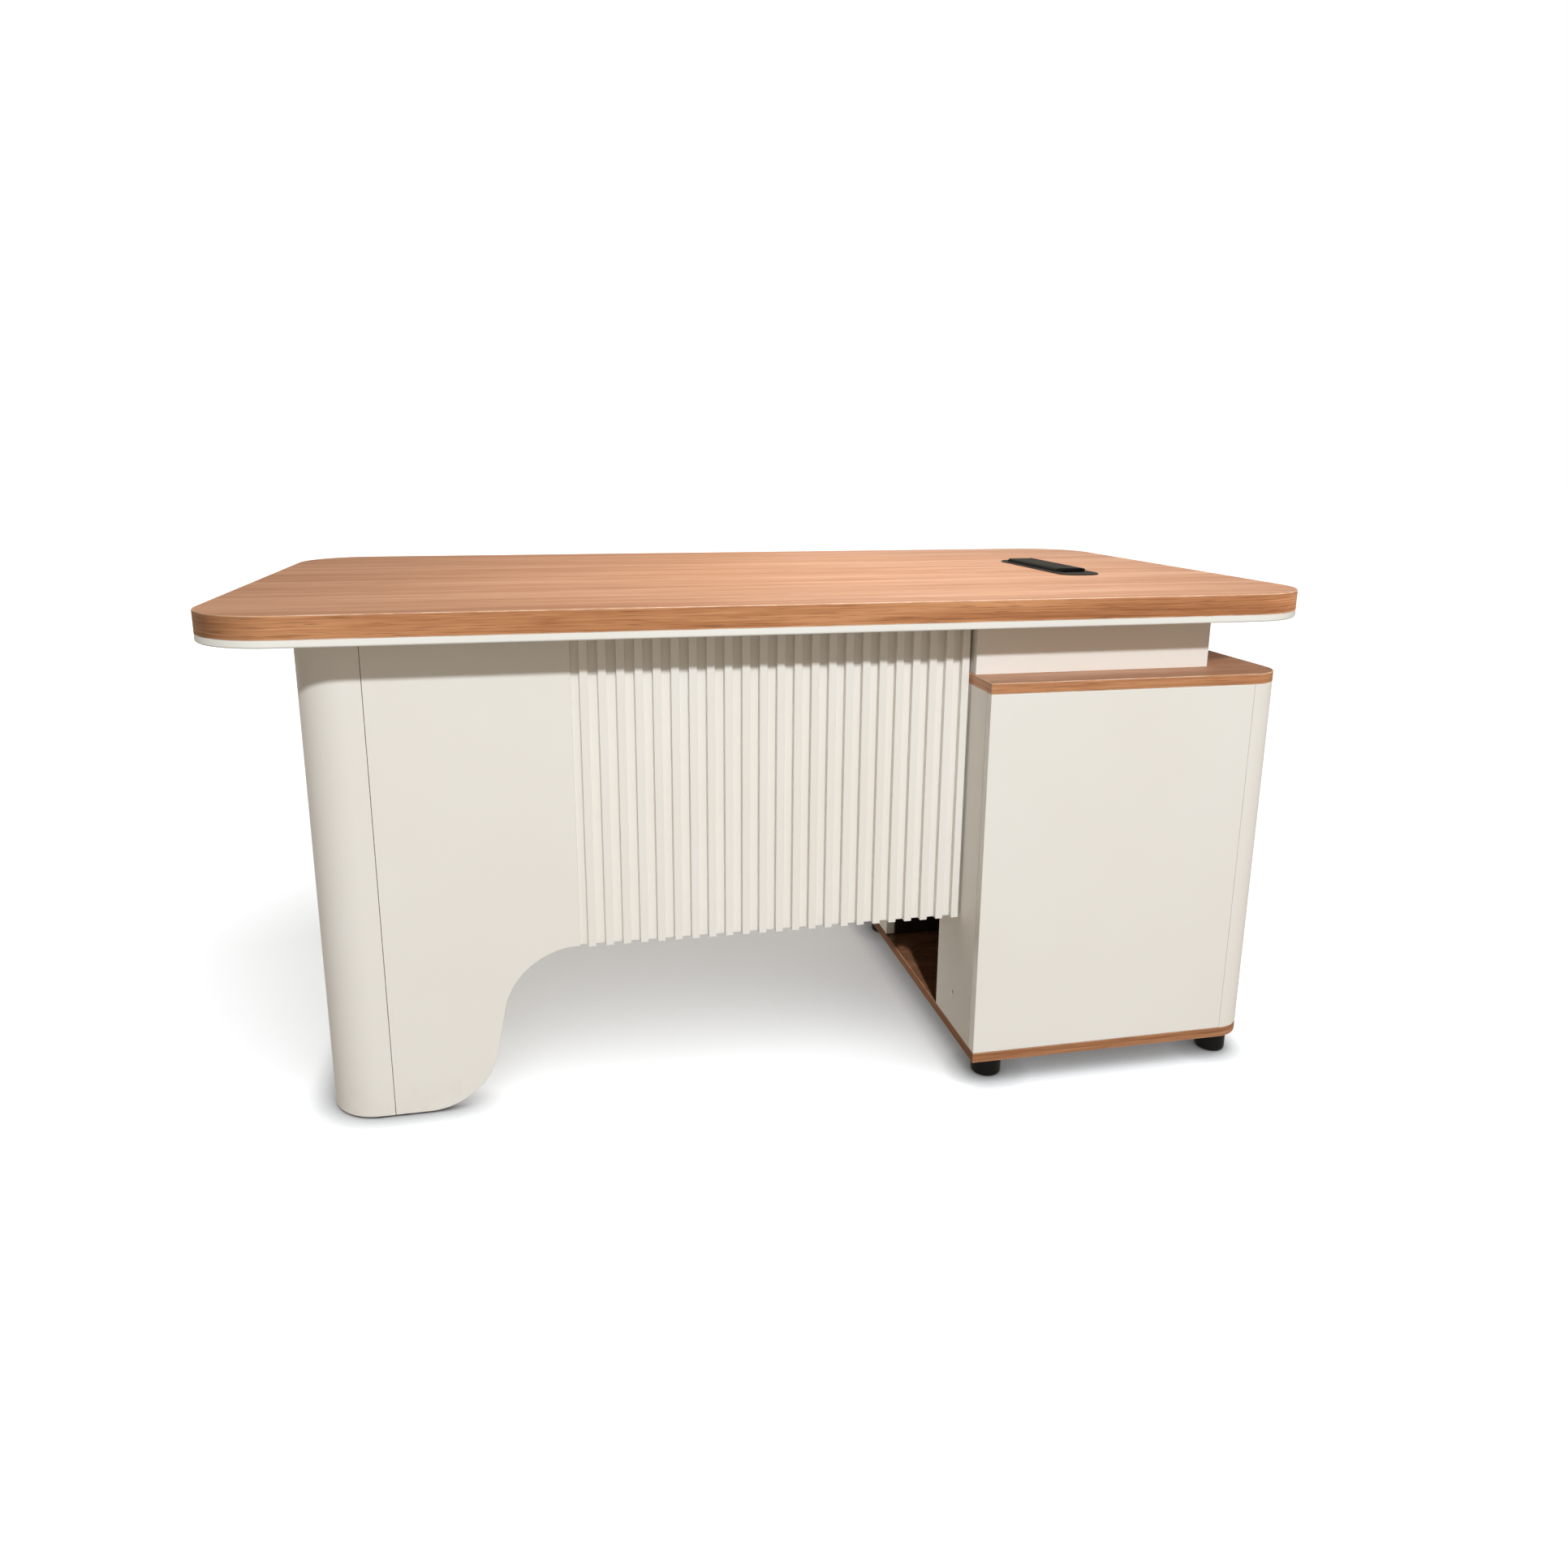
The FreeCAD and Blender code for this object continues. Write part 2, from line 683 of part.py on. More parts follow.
def build_drawer(index):
    """One drawer: front with a bevelled finger edge, two sides, back, base and runner bars."""
    label = f"drawer_{index + 1}"
    low = drawer_bottom(index)
    width = f"({FRONTS_END_Y} - {FRONTS_Y})"
    face = new_body(f"{label}_front", (CAB_X, FRONTS_Y, low))
    outline = [
        ("0", "0"),
        ("cab_board", "0"),
        ("cab_board", f"{FRONT_HEIGHT} - finger_bevel"),
        ("cab_board - finger_bevel", FRONT_HEIGHT),
        ("0", FRONT_HEIGHT),
    ]
    pad(face, polygon(face, "XZ_Plane", outline), width, backwards=True)
    node(face, f"{label}_front")

    side_z = f"({low} + box_lift)"
    near_y = f"({BANK_Y} + runner_width)"
    far_y = f"({BANK_END_Y} - runner_width - drawer_side)"
    inside_y = f"({near_y} + drawer_side)"
    inside = f"({far_y} - {inside_y})"
    sides = [
        box(f"{label}_side_{name}", (FRONT_BACK_X, y, side_z), (BOX_DEPTH, "drawer_side", "box_height"))
        for name, y in (("a", near_y), ("b", far_y))
    ]
    node(group(f"{label}_sides", sides), f"{label}_sides")
    back = box(
        f"{label}_back",
        (f"{FRONT_BACK_X} + {BOX_DEPTH} - drawer_side", inside_y, side_z),
        ("drawer_side", inside, "box_height"),
    )
    node(back, f"{label}_back")
    base = box(
        f"{label}_base",
        (FRONT_BACK_X, inside_y, f"{side_z} + drawer_base_lift"),
        (f"{BOX_DEPTH} - drawer_side", inside, "drawer_base"),
    )
    node(base, f"{label}_base")

    bar_height = "(runner_height - 2 * runner_wall - 2 * runner_play)"
    bars = runner_pair(
        f"{label}_bar",
        CARCASE_X,
        runner_z(index),
        RUNNER_LENGTH,
        ("runner_width", "(runner_width - runner_wall)"),
        ("runner_width", "(runner_wall + runner_play)"),
        bar_height,
    )
    node(group(f"{label}_runner_bars", bars), f"{label}_runner_bars")


def build_drawers():
    """The drawer bank: fixed runner channels and the drawers that run in them."""
    channels = []
    for index in range(DRAWERS):
        channels += runner_pair(
            f"channel_{index + 1}",
            CARCASE_X,
            runner_z(index),
            RUNNER_LENGTH,
            ("0", "runner_wall"),
            ("0", "runner_flange"),
            "runner_height",
        )
    node(group("drawer_runner_channels", channels), "drawer_runner_channels")
    for index in range(DRAWERS):
        build_drawer(index)


def pivot_mount(name, plate_z, pin_z, pin_length, collar_z, collar_length):
    """A pivot plate with its collar and pin, one solid."""
    plate = box(
        f"{name}_plate",
        (CAB_X, f"{PIVOT_Y} - pivot_plate_length / 2", plate_z),
        ("cab_board", "pivot_plate_length", "pivot_plate"),
    )
    collar = rod(f"{name}_collar", (PIVOT_X, PIVOT_Y, collar_z), "pivot_collar", collar_length)
    pin = rod(f"{name}_pin", (PIVOT_X, PIVOT_Y, pin_z), "pivot_diameter", pin_length)
    fused = doc.addObject("Part::MultiFuse", name)
    fused.Shapes = [plate, collar, pin]
    return fused


def build_door():
    """The door on its two pivots, and the shelf behind it."""
    width = f"({DOOR_END_Y} - {DOOR_Y})"
    leaf = new_body("door_leaf", (CAB_X, DOOR_Y, DOOR_Z))
    outline = [
        ("0", "0"),
        ("cab_board", "0"),
        ("cab_board", f"{DOOR_HEIGHT} - finger_bevel"),
        ("cab_board - finger_bevel", DOOR_HEIGHT),
        ("0", DOOR_HEIGHT),
    ]
    pad(leaf, polygon(leaf, "XZ_Plane", outline), width, backwards=True)
    bore = "pivot_diameter + 2 * pivot_play"
    depth = "pivot_depth + pivot_collar_gap"
    top_z = f"({DOOR_Z} + {DOOR_HEIGHT})"
    bores = [
        rod("door_bore_low", (PIVOT_X, PIVOT_Y, DOOR_Z), bore, depth),
        rod("door_bore_high", (PIVOT_X, PIVOT_Y, f"{top_z} - ({depth})"), bore, depth),
    ]
    drills = group("door_bores", bores)
    door = doc.addObject("Part::Cut", "cabinet_door")
    door.Base = leaf
    door.Tool = drills
    node(door, "cabinet_door")

    low = pivot_mount(
        "door_pivot_low",
        FLOOR_Z,
        FLOOR_Z,
        "door_gap + pivot_depth",
        FLOOR_Z,
        "door_gap - pivot_collar_gap",
    )
    high = pivot_mount(
        "door_pivot_high",
        f"{CEILING_Z} - pivot_plate",
        f"{top_z} - pivot_depth",
        "finger_gap + pivot_depth",
        f"{top_z} + pivot_collar_gap",
        "finger_gap - pivot_collar_gap",
    )
    node(group("door_pivots", [low, high]), "door_pivots")

    shelf_x = f"({FRONT_BACK_X} + shelf_setback)"
    shelf_end_x = f"({CAB_END_X} - cab_board)"
    shelf = box(
        "door_shelf",
        (shelf_x, f"{DOOR_BAY_Y} + shelf_play", "shelf_height"),
        (f"{shelf_end_x} - {shelf_x}", f"{REAR_INNER_Y} - {DOOR_BAY_Y} - 2 * shelf_play", "cab_board"),
    )
    node(shelf, "door_shelf")
    along_y = FreeCAD.Rotation(FreeCAD.Vector(1, 0, 0), -90)
    pegs = []
    for x in (f"{shelf_x} + peg_inset", f"{shelf_end_x} - peg_inset"):
        for y in (DOOR_BAY_Y, f"{REAR_INNER_Y} - peg_length"):
            spot = (x, y, "shelf_height - peg_diameter / 2")
            pegs.append(rod(f"shelf_peg_{len(pegs) + 1}", spot, "peg_diameter", "peg_length", along_y))
    node(group("shelf_pegs", pegs), "shelf_pegs")


def build_riser():
    """The riser that carries the top above the cabinet: a front and two long sides, open behind."""
    depth = f"{BACK_Y} - {RISER_SIDE_Y}"
    parts = {
        "riser_front_panel": (RISER_X, RISER_Y, "riser_width", "cab_board"),
        "riser_inner_panel": (RISER_X, RISER_SIDE_Y, "cab_board", depth),
        "riser_outer_panel": (f"{RISER_X} + riser_width - cab_board", RISER_SIDE_Y, "cab_board", depth),
    }
    for label, (x, y, wide, deep) in parts.items():
        node(box(label, (x, y, CAB_HEIGHT), (wide, deep, "riser_height")), label)


def build_cable_box():
    """The oblong cable box: plate and throat in one, hinge pins, and a lid that leaves an outlet open."""
    frame_body = rounded_plate(
        "cable_box_plate",
        (CABLE_X, CABLE_Y, "desk_height"),
        "cable_width",
        "cable_length",
        "cable_plate",
        "(cable_width - cable_end_flat) / 2",
    )
    dress(frame_body, "Chamfer", level(value("cable_plate")), "cable_arris")
    outer_wide = "throat_width + 2 * throat_wall"
    outer_long = "throat_length + 2 * throat_wall"
    throat = rectangle(frame_body, "XY_Plane", outer_wide, outer_long)
    pad(frame_body, throat, "top_board + underlay_board + throat_tail", backwards=True)
    through_pocket(frame_body, rectangle(frame_body, "XY_Plane", "throat_width", "throat_length"))

    along_y = FreeCAD.Rotation(FreeCAD.Vector(1, 0, 0), -90)
    near_ear_y = f"({LID_Y} - lid_end_gap - lid_ear_length)"
    far_ear_y = f"({LID_END_Y} + lid_end_gap)"
    solids = [frame_body]
    ear_bores = []
    for name, y in (("near", near_ear_y), ("far", far_ear_y)):
        foot = box(
            f"lid_ear_foot_{name}",
            (f"{LID_AXIS_X} - lid_thickness / 2", y, "desk_height + cable_plate"),
            ("lid_thickness", "lid_ear_length", "lid_gap + lid_thickness / 2"),
        )
        axis_end = (LID_AXIS_X, y, LID_AXIS_Z)
        crown = rod(f"lid_ear_crown_{name}", axis_end, "lid_thickness", "lid_ear_length", along_y)
        bore = rod(f"lid_ear_bore_{name}", axis_end, "lid_pin_diameter", "lid_ear_length", along_y)
        solids += [foot, crown]
        ear_bores.append(bore)
    blank = doc.addObject("Part::MultiFuse", "cable_box_blank")
    blank.Shapes = solids
    frame_cut = doc.addObject("Part::Cut", "cable_box_frame")
    frame_cut.Base = blank
    frame_cut.Tool = group("lid_ear_bores", ear_bores)
    node(frame_cut, "cable_box_frame")

    pin_length = "lid_ear_length + lid_end_gap + lid_pin_grip"
    pins = [
        rod(f"lid_pin_{name}", (LID_AXIS_X, y, LID_AXIS_Z), "lid_pin_diameter", pin_length, along_y)
        for name, y in (("near", near_ear_y), ("far", f"{LID_END_Y} - lid_pin_grip"))
    ]
    node(group("cable_lid_pins", pins), "cable_lid_pins")

    leaf = new_body("lid_leaf", (LID_AXIS_X, f"{LID_Y} + {LID_LENGTH} / 2", LID_AXIS_Z))
    half = "lid_thickness / 2"
    reach = f"({LID_WIDTH} - lid_thickness / 2)"
    outline = [
        ("0", f"-{half}"),
        ("0", half),
        (f"-({reach} - lid_bevel)", half),
        (f"-{reach}", f"{half} - lid_bevel"),
        (f"-{reach}", f"-{half}"),
    ]
    pad(leaf, polygon(leaf, "XZ_Plane", outline), LID_LENGTH, midplane=True)
    barrel = rod("lid_barrel", (LID_AXIS_X, LID_Y, LID_AXIS_Z), "lid_thickness", LID_LENGTH, along_y)
    lid = doc.addObject("Part::Fuse", "lid_blank")
    lid.Base = leaf
    lid.Tool = barrel
    lid_bore = "lid_pin_diameter + 2 * lid_pin_play"
    lid_depth = "lid_pin_grip + lid_end_gap"
    lid_bores = [
        rod(f"lid_bore_{name}", (LID_AXIS_X, y, LID_AXIS_Z), lid_bore, lid_depth, along_y)
        for name, y in (("near", LID_Y), ("far", f"{LID_END_Y} - ({lid_depth})"))
    ]
    lid_cut = doc.addObject("Part::Cut", "cable_lid")
    lid_cut.Base = lid
    lid_cut.Tool = group("lid_bores", lid_bores)
    node(lid_cut, "cable_lid")


def write_nodes():
    """Check the whole document, then write one file for each sub-part."""
    doc.recompute()
    for item in doc.Objects:
        faults = {"Invalid", "Error"} & set(item.State)
        if faults:
            raise RuntimeError(f"{item.Label}: {', '.join(sorted(faults))}")
    for item in nodes:
        if item.Shape.isNull() or not item.Shape.isValid():
            raise RuntimeError(f"{item.Label}: no valid shape")
    os.makedirs("parts", exist_ok=True)
    for item in nodes:
        item.Shape.exportStep(f"parts/{item.Label}.step")
    print(f"{len(nodes)} sub-parts written")


build_desktop()
build_leg()
build_slatted_panel()
build_brackets()
build_cabinet()
build_drawers()
build_door()
build_riser()
build_cable_box()
write_nodes()
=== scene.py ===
"""Looks of an office desk with a slatted modesty panel and a side cabinet, built round its solids."""

import logging
import math
import random
from dataclasses import dataclass, replace
from enum import Enum
from typing import Callable, Iterable, Sequence

import bmesh
import bpy
from bmesh.types import BMEdge, BMesh, BMFace, BMVert
from bpy.types import Material, Node, NodeSocket, NodeTree, World
from mathutils import Matrix, Vector
from mathutils.kdtree import KDTree


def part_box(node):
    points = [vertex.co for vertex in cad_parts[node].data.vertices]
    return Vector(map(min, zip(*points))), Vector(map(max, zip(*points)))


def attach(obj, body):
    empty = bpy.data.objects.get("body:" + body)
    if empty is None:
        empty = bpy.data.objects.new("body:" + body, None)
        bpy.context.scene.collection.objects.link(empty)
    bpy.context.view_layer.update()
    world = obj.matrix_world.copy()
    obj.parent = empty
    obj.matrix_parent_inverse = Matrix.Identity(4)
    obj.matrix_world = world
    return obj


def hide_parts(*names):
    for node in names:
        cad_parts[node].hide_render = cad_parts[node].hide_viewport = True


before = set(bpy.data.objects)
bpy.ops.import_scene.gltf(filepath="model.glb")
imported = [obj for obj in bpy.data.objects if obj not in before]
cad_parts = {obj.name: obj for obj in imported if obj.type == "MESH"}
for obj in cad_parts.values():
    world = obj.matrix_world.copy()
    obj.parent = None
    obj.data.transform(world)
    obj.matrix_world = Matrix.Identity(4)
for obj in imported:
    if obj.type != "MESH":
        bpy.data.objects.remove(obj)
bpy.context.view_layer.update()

LOG = logging.getLogger("desk")

Pair = tuple[float, float]
Triple = tuple[float, float, float]
Colour = tuple[float, float, float, float]
Sockets = dict[str, NodeSocket]

RIGHT = Vector((1, 0, 0))
BACK = Vector((0, 1, 0))
UP = Vector((0, 0, 1))

# What the meshes carry for the finishes.
GRAIN_MAP = "grain"
ARRIS = "arris"
TONE = "tone"

# What counts as a sharp edge, as a level face and as the same place.
SHARP_ANGLE = math.radians(50)
FLAT = 0.95
HAIR = 1e-6
CUT_REACH = 1e-7

# Straight steps in a round, sides of a pin, and how much of a half-round two bevels may take.
CORNER_STEPS = 24
BEND_STEPS = 28
PIN_SIDES = 20
HALF_ROUND = 0.999

# Sizes that several pieces share, in metres.
JOINT = 0.0004
BOARD_ARRIS = 0.0008
POST_ARRIS = 0.0006
FRONT_ARRIS = 0.0009
FRONT_BEVEL = 0.010

# Where the edge bands' grain begins across the pattern, in metres, well away from the flats' grain.
BAND_START = 3.0


def paint(red: int, green: int, blue: int) -> Colour:
    """A colour given as it looks on a screen, turned into light.

    Args:
        red: Red from 0 to 255.
        green: Green from 0 to 255.
        blue: Blue from 0 to 255.

    Returns:
        The same colour as linear light, opaque.
    """
    shares = [channel / 255 for channel in (red, green, blue)]
    light = [share / 12.92 if share <= 0.04045 else ((share + 0.055) / 1.055) ** 2.4 for share in shares]
    return (*light, 1.0)


class Laid(Enum):
    """What a pattern is laid out on."""

    ON_BOARD = "grain map of the board"
    IN_SPACE = "place in the desk"


@dataclass(frozen=True)
class Noise:
    """A cloudy pattern: its scale, in all or along each axis, its grain, and the span drawn out of it."""

    scale: float | Triple
    detail: float = 2
    rough: float = 0.5
    span: Pair | None = None
    onto: Pair = (0, 1)


class Bench:
    """Places nodes in one node tree and joins them."""

    def __init__(self, tree: NodeTree) -> None:
        """Work on one tree."""
        self.tree = tree

    @classmethod
    def clear(cls, owner: Material | World) -> "Bench":
        """Start on a material or a world, with no node placed yet.

        Args:
            owner: The material or the world.

        Returns:
            Its bench.
        """
        owner.use_nodes = True
        owner.node_tree.nodes.clear()
        return cls(owner.node_tree)

    def add(self, kind: str, inputs: dict | None = None, **settings: object) -> Node:
        """Place one node.

        Args:
            kind: The node's type.
            inputs: Values, or sockets to join, by socket name or number.
            settings: Plain settings of the node.

        Returns:
            The new node.
        """
        node = self.tree.nodes.new(kind)
        for key, setting in settings.items():
            setattr(node, key, setting)
        for key, given in (inputs or {}).items():
            if isinstance(given, NodeSocket):
                self.tree.links.new(given, node.inputs[key])
            else:
                node.inputs[key].default_value = given
        return node

    def sum(self, operation: str, first: object, second: object, clamp: bool = False) -> NodeSocket:
        """Join two numbers by a Math node and return the answer's socket."""
        inputs = {0: first, 1: second}
        return self.add("ShaderNodeMath", inputs, operation=operation, use_clamp=clamp).outputs[0]

    def weigh(self, *parts: tuple[NodeSocket, float]) -> NodeSocket:
        """Add up numbers, each times its share.

        Args:
            parts: Each number's socket and its share.

        Returns:
            The answer's socket.
        """
        total, *rest = [self.sum("MULTIPLY", part, share) for part, share in parts]
        for part in rest:
            total = self.sum("ADD", total, part)
        return total

    def span(self, value: NodeSocket, old: Pair, new: Pair = (0, 1)) -> NodeSocket:
        """Map one range of numbers to another, clamped, and return the answer's socket."""
        inputs = {"Value": value, 1: old[0], 2: old[1], 3: new[0], 4: new[1]}
        return self.add("ShaderNodeMapRange", inputs).outputs[0]

    def stretch(self, vector: NodeSocket, scale: Triple, turn: Triple = (0, 0, 0)) -> NodeSocket:
        """Turn and scale a pattern's coordinates and return their socket."""
        inputs = {"Vector": vector, "Scale": scale, "Rotation": turn}
        return self.add("ShaderNodeMapping", inputs).outputs[0]

    def noise(self, vector: NodeSocket, kind: Noise) -> NodeSocket:
        """Lay out a cloudy pattern.

        Args:
            vector: Socket of the coordinates.
            kind: The pattern.

        Returns:
            The pattern's socket.
        """
        scale = kind.scale
        if isinstance(scale, tuple):
            vector = self.stretch(vector, scale)
            scale = 1.0
        inputs = {"Vector": vector, "Scale": scale, "Detail": kind.detail, "Roughness": kind.rough}
        cloud = self.add("ShaderNodeTexNoise", inputs).outputs[0]
        return self.span(cloud, kind.span, kind.onto) if kind.span else cloud

    def mix(self, share: object, first: object, second: object) -> NodeSocket:
        """Mix two colours by a share and return the colour's socket."""
        return self.add("ShaderNodeMix", {0: share, 6: first, 7: second}, data_type="RGBA").outputs[2]

    def stain(self, colour: NodeSocket, mask: NodeSocket, share: float, over: Colour) -> NodeSocket:
        """Lay a second colour over the first where a mask says, and return the colour's socket."""
        return self.mix(self.sum("MULTIPLY", mask, share), colour, over)

    def ramp(self, value: NodeSocket, colours: Sequence[Colour]) -> NodeSocket:
        """A ramp through evenly spaced colours.

        Args:
            value: Socket of the place on the ramp, from 0 to 1.
            colours: The colours in order.

        Returns:
            The colour's socket.
        """
        node = self.add("ShaderNodeValToRGB", {0: value})
        elements = node.color_ramp.elements
        while len(elements) < len(colours):
            elements.new(0.5)
        for number, colour in enumerate(colours):
            elements[number].position = number / (len(colours) - 1)
            elements[number].color = colour
        return node.outputs[0]

    def surface(
        self,
        colour: NodeSocket,
        rough: NodeSocket,
        height: NodeSocket,
        relief: Pair,
        plain: dict[str, float],
    ) -> Node:
        """A shader with a bumped skin.

        Args:
            colour: Socket of the colour.
            rough: Socket of the roughness.
            height: Socket of the skin's height.
            relief: The bump's strength, and its depth in metres.
            plain: What is the same all over the surface, by socket name.

        Returns:
            The shader.
        """
        skin = {"Strength": relief[0], "Distance": relief[1], "Height": height}
        bump = self.add("ShaderNodeBump", skin).outputs[0]
        joined = {"Base Color": colour, "Roughness": rough, "Normal": bump}
        return self.add("ShaderNodeBsdfPrincipled", joined | plain)

    def place(self) -> NodeSocket:
        """The place in the desk, in metres, as a socket."""
        return self.add("ShaderNodeTexCoord").outputs["Object"]

    def board(self) -> NodeSocket:
        """The board's own grain map, in metres, as a socket."""
        return self.add("ShaderNodeUVMap", uv_map=GRAIN_MAP).outputs[0]

    def mark(self, name: str) -> NodeSocket:
        """A number that the mesh carries on its faces, as a socket."""
        return self.add("ShaderNodeAttribute", attribute_name=name).outputs["Fac"]


class Effects:
    """Surface effects that several finishes share, each a node group built once."""

    SWAY = Noise((1.3, 3.2, 3.2))
    BAND = Noise((0.55, 13, 13), 2, 0.55)
    STREAK = Noise((1.6, 40, 40), 5, 0.68)
    FIBRE = Noise((7, 460, 460), 3, 0.62)
    PORE = Noise((20, 1000, 1000), 1, span=(0.58, 0.70))
    BAND_SHARE = 0.24
    STREAK_SHARE = 0.48
    FIBRE_SHARE = 0.28
    PORE_DEPTH = 0.6
    TONE_SPAN = (0.385, 0.615)
    CLOUD = Noise(3.4, 3, 0.55, span=(0.32, 0.68))
    SMUDGE = Noise((9, 9, 4), 4, 0.6, span=(0.3, 0.7))
    FINE = Noise(900)
    # Patches along the arrises where they are made lighter: partly wear, partly a painted highlight.
    RUBBED = Noise(26, 4, 0.65, span=(0.36, 0.62), onto=(0.35, 1))
    DUST = Noise(38, 4, 0.62, span=(0.36, 0.7))
    PEBBLE = Noise(1600)
    FLOW = Noise(22, 3, 0.6, span=(0.3, 0.7))
    ROLLING = Noise((14, 900, 900))
    FLAKES = 340.0
    FLAKE_SHARE = 0.6
    ROLLING_SHARE = 0.4

    def __init__(self) -> None:
        """Start with no groups."""
        self.trees: dict[str, NodeTree] = {}

    def use(self, bench: Bench, effect: Callable[[Bench, Sockets], Sockets], **inputs: object) -> Sockets:
        """Place an effect in a material.

        Args:
            bench: The material's bench.
            effect: The method here that lays out the effect.
            inputs: Values or sockets for the effect's inputs, by name.

        Returns:
            The effect's output sockets by name.
        """
        name = effect.__name__
        if name not in self.trees:
            self.trees[name] = self.make_group(name, effect, list(inputs))
        node = bench.add("ShaderNodeGroup", inputs, node_tree=self.trees[name])
        return {socket.name: socket for socket in node.outputs}

    @staticmethod
    def make_group(name: str, effect: Callable[[Bench, Sockets], Sockets], labels: list[str]) -> NodeTree:
        """Build an effect's node group.

        Args:
            name: The group's name.
            effect: The method that lays out the effect.
            labels: Names of its inputs.

        Returns:
            The group's tree.
        """
        tree = bpy.data.node_groups.new(name, "ShaderNodeTree")
        for label in labels:
            kind = "NodeSocketVector" if label == "Vector" else "NodeSocketFloat"
            tree.interface.new_socket(label, in_out="INPUT", socket_type=kind)
        bench = Bench(tree)
        answers = effect(bench, {socket.name: socket for socket in bench.add("NodeGroupInput").outputs})
        for label in answers:
            tree.interface.new_socket(label, in_out="OUTPUT", socket_type="NodeSocketFloat")
        bench.add("NodeGroupOutput", answers)
        return tree

    def wood_figure(self, bench: Bench, given: Sockets) -> Sockets:
        """Straight wood grain along the first axis: broad bands, streaks, fibres and pores.

        Args:
            bench: The group's bench.
            given: The group's inputs.

        Returns:
            The group's outputs.
        """
        sway = bench.sum("SUBTRACT", bench.noise(given["Vector"], self.SWAY), 0.5)
        sway = bench.sum("MULTIPLY", sway, given["Waviness"])
        shift = bench.add("ShaderNodeCombineXYZ", {1: sway, 2: sway}).outputs[0]
        swayed = {0: given["Vector"], 1: shift}
        grain = bench.add("ShaderNodeVectorMath", swayed, operation="ADD").outputs[0]
        band = bench.noise(grain, self.BAND)
        streak = bench.noise(grain, self.STREAK)
        fibre = bench.noise(grain, self.FIBRE)
        pore = bench.noise(grain, self.PORE)
        tone = bench.weigh((band, self.BAND_SHARE), (streak, self.STREAK_SHARE), (fibre, self.FIBRE_SHARE))
        height = bench.sum("SUBTRACT", fibre, bench.sum("MULTIPLY", pore, self.PORE_DEPTH))
        return {"Tone": bench.span(tone, self.TONE_SPAN), "Pore": pore, "Height": height}

    def laminate_skin(self, bench: Bench, given: Sockets) -> Sockets:
        """Faint clouds and handling marks of a pressed laminate, and its fine texture."""
        parts = {"Cloud": self.CLOUD, "Smudge": self.SMUDGE, "Height": self.FINE}
        return {label: bench.noise(given["Vector"], kind) for label, kind in parts.items()}

    def moulded_skin(self, bench: Bench, given: Sockets) -> Sockets:
        """Faint flow clouds of a moulded plastic, and its fine pebbled texture."""
        parts = {"Flow": self.FLOW, "Height": self.PEBBLE}
        return {label: bench.noise(given["Vector"], kind) for label, kind in parts.items()}

    def edge_wear(self, bench: Bench, given: Sockets) -> Sockets:
        """Where an arris is lightened, partly by rubbed wear and partly by a painted highlight: broken up
        along the edge, on the arris alone.
        """
        patch = bench.noise(given["Vector"], self.RUBBED)
        return {"Mask": bench.sum("MULTIPLY", patch, given["Arris"])}

    def floor_dust(self, bench: Bench, given: Sockets) -> Sockets:
        """Dust that gathers towards the floor, up to a given height.

        Args:
            bench: The group's bench.
            given: The group's inputs.

        Returns:
            The group's outputs.
        """
        height = bench.add("ShaderNodeSeparateXYZ", {0: given["Vector"]}).outputs[2]
        share = bench.sum("SUBTRACT", 1.0, bench.sum("DIVIDE", height, given["Reach"]), clamp=True)
        cloud = bench.noise(given["Vector"], self.DUST)
        return {"Mask": bench.sum("MULTIPLY", share, cloud)}

    def zinc_spangle(self, bench: Bench, given: Sockets) -> Sockets:
        """Crystal flakes and rolling lines of zinc plate.

        Args:
            bench: The group's bench.
            given: The group's inputs.

        Returns:
            The group's outputs.
        """
        cells = {"Vector": given["Vector"], "Scale": self.FLAKES}
        flake = bench.add("ShaderNodeTexVoronoi", cells).outputs["Color"]
        flake = bench.add("ShaderNodeSeparateColor", {0: flake}).outputs[0]
        line = bench.noise(given["Vector"], self.ROLLING)
        shade = bench.weigh((flake, self.FLAKE_SHARE), (line, self.ROLLING_SHARE))
        return {"Shade": shade, "Height": line}


EFFECTS = Effects()


@dataclass(frozen=True)
class Finish:
    """A surface finish: its name, the record's slot that it stands for, and its roughness from and to."""

    name: str
    slot: str
    sheen: Pair

    def material(self) -> Material:
        """The finish as a material, made the first time that it is asked for.

        Returns:
            The material.
        """
        made = bpy.data.materials.get(self.name)
        if made is None:
            made = bpy.data.materials.new(self.name)
            bench = Bench.clear(made)
            bench.add("ShaderNodeOutputMaterial", {"Surface": self.dress(bench).outputs[0]})
        return made

    def dress(self, bench: Bench) -> Node:
        """Place the finish's nodes and return its shader."""
        raise NotImplementedError

    @staticmethod
    def rubbed(bench: Bench, place: NodeSocket) -> NodeSocket:
        """Where the arrises are lightened by wear and a painted highlight, as a socket."""
        return EFFECTS.use(bench, EFFECTS.edge_wear, Vector=place, Arris=bench.mark(ARRIS))["Mask"]


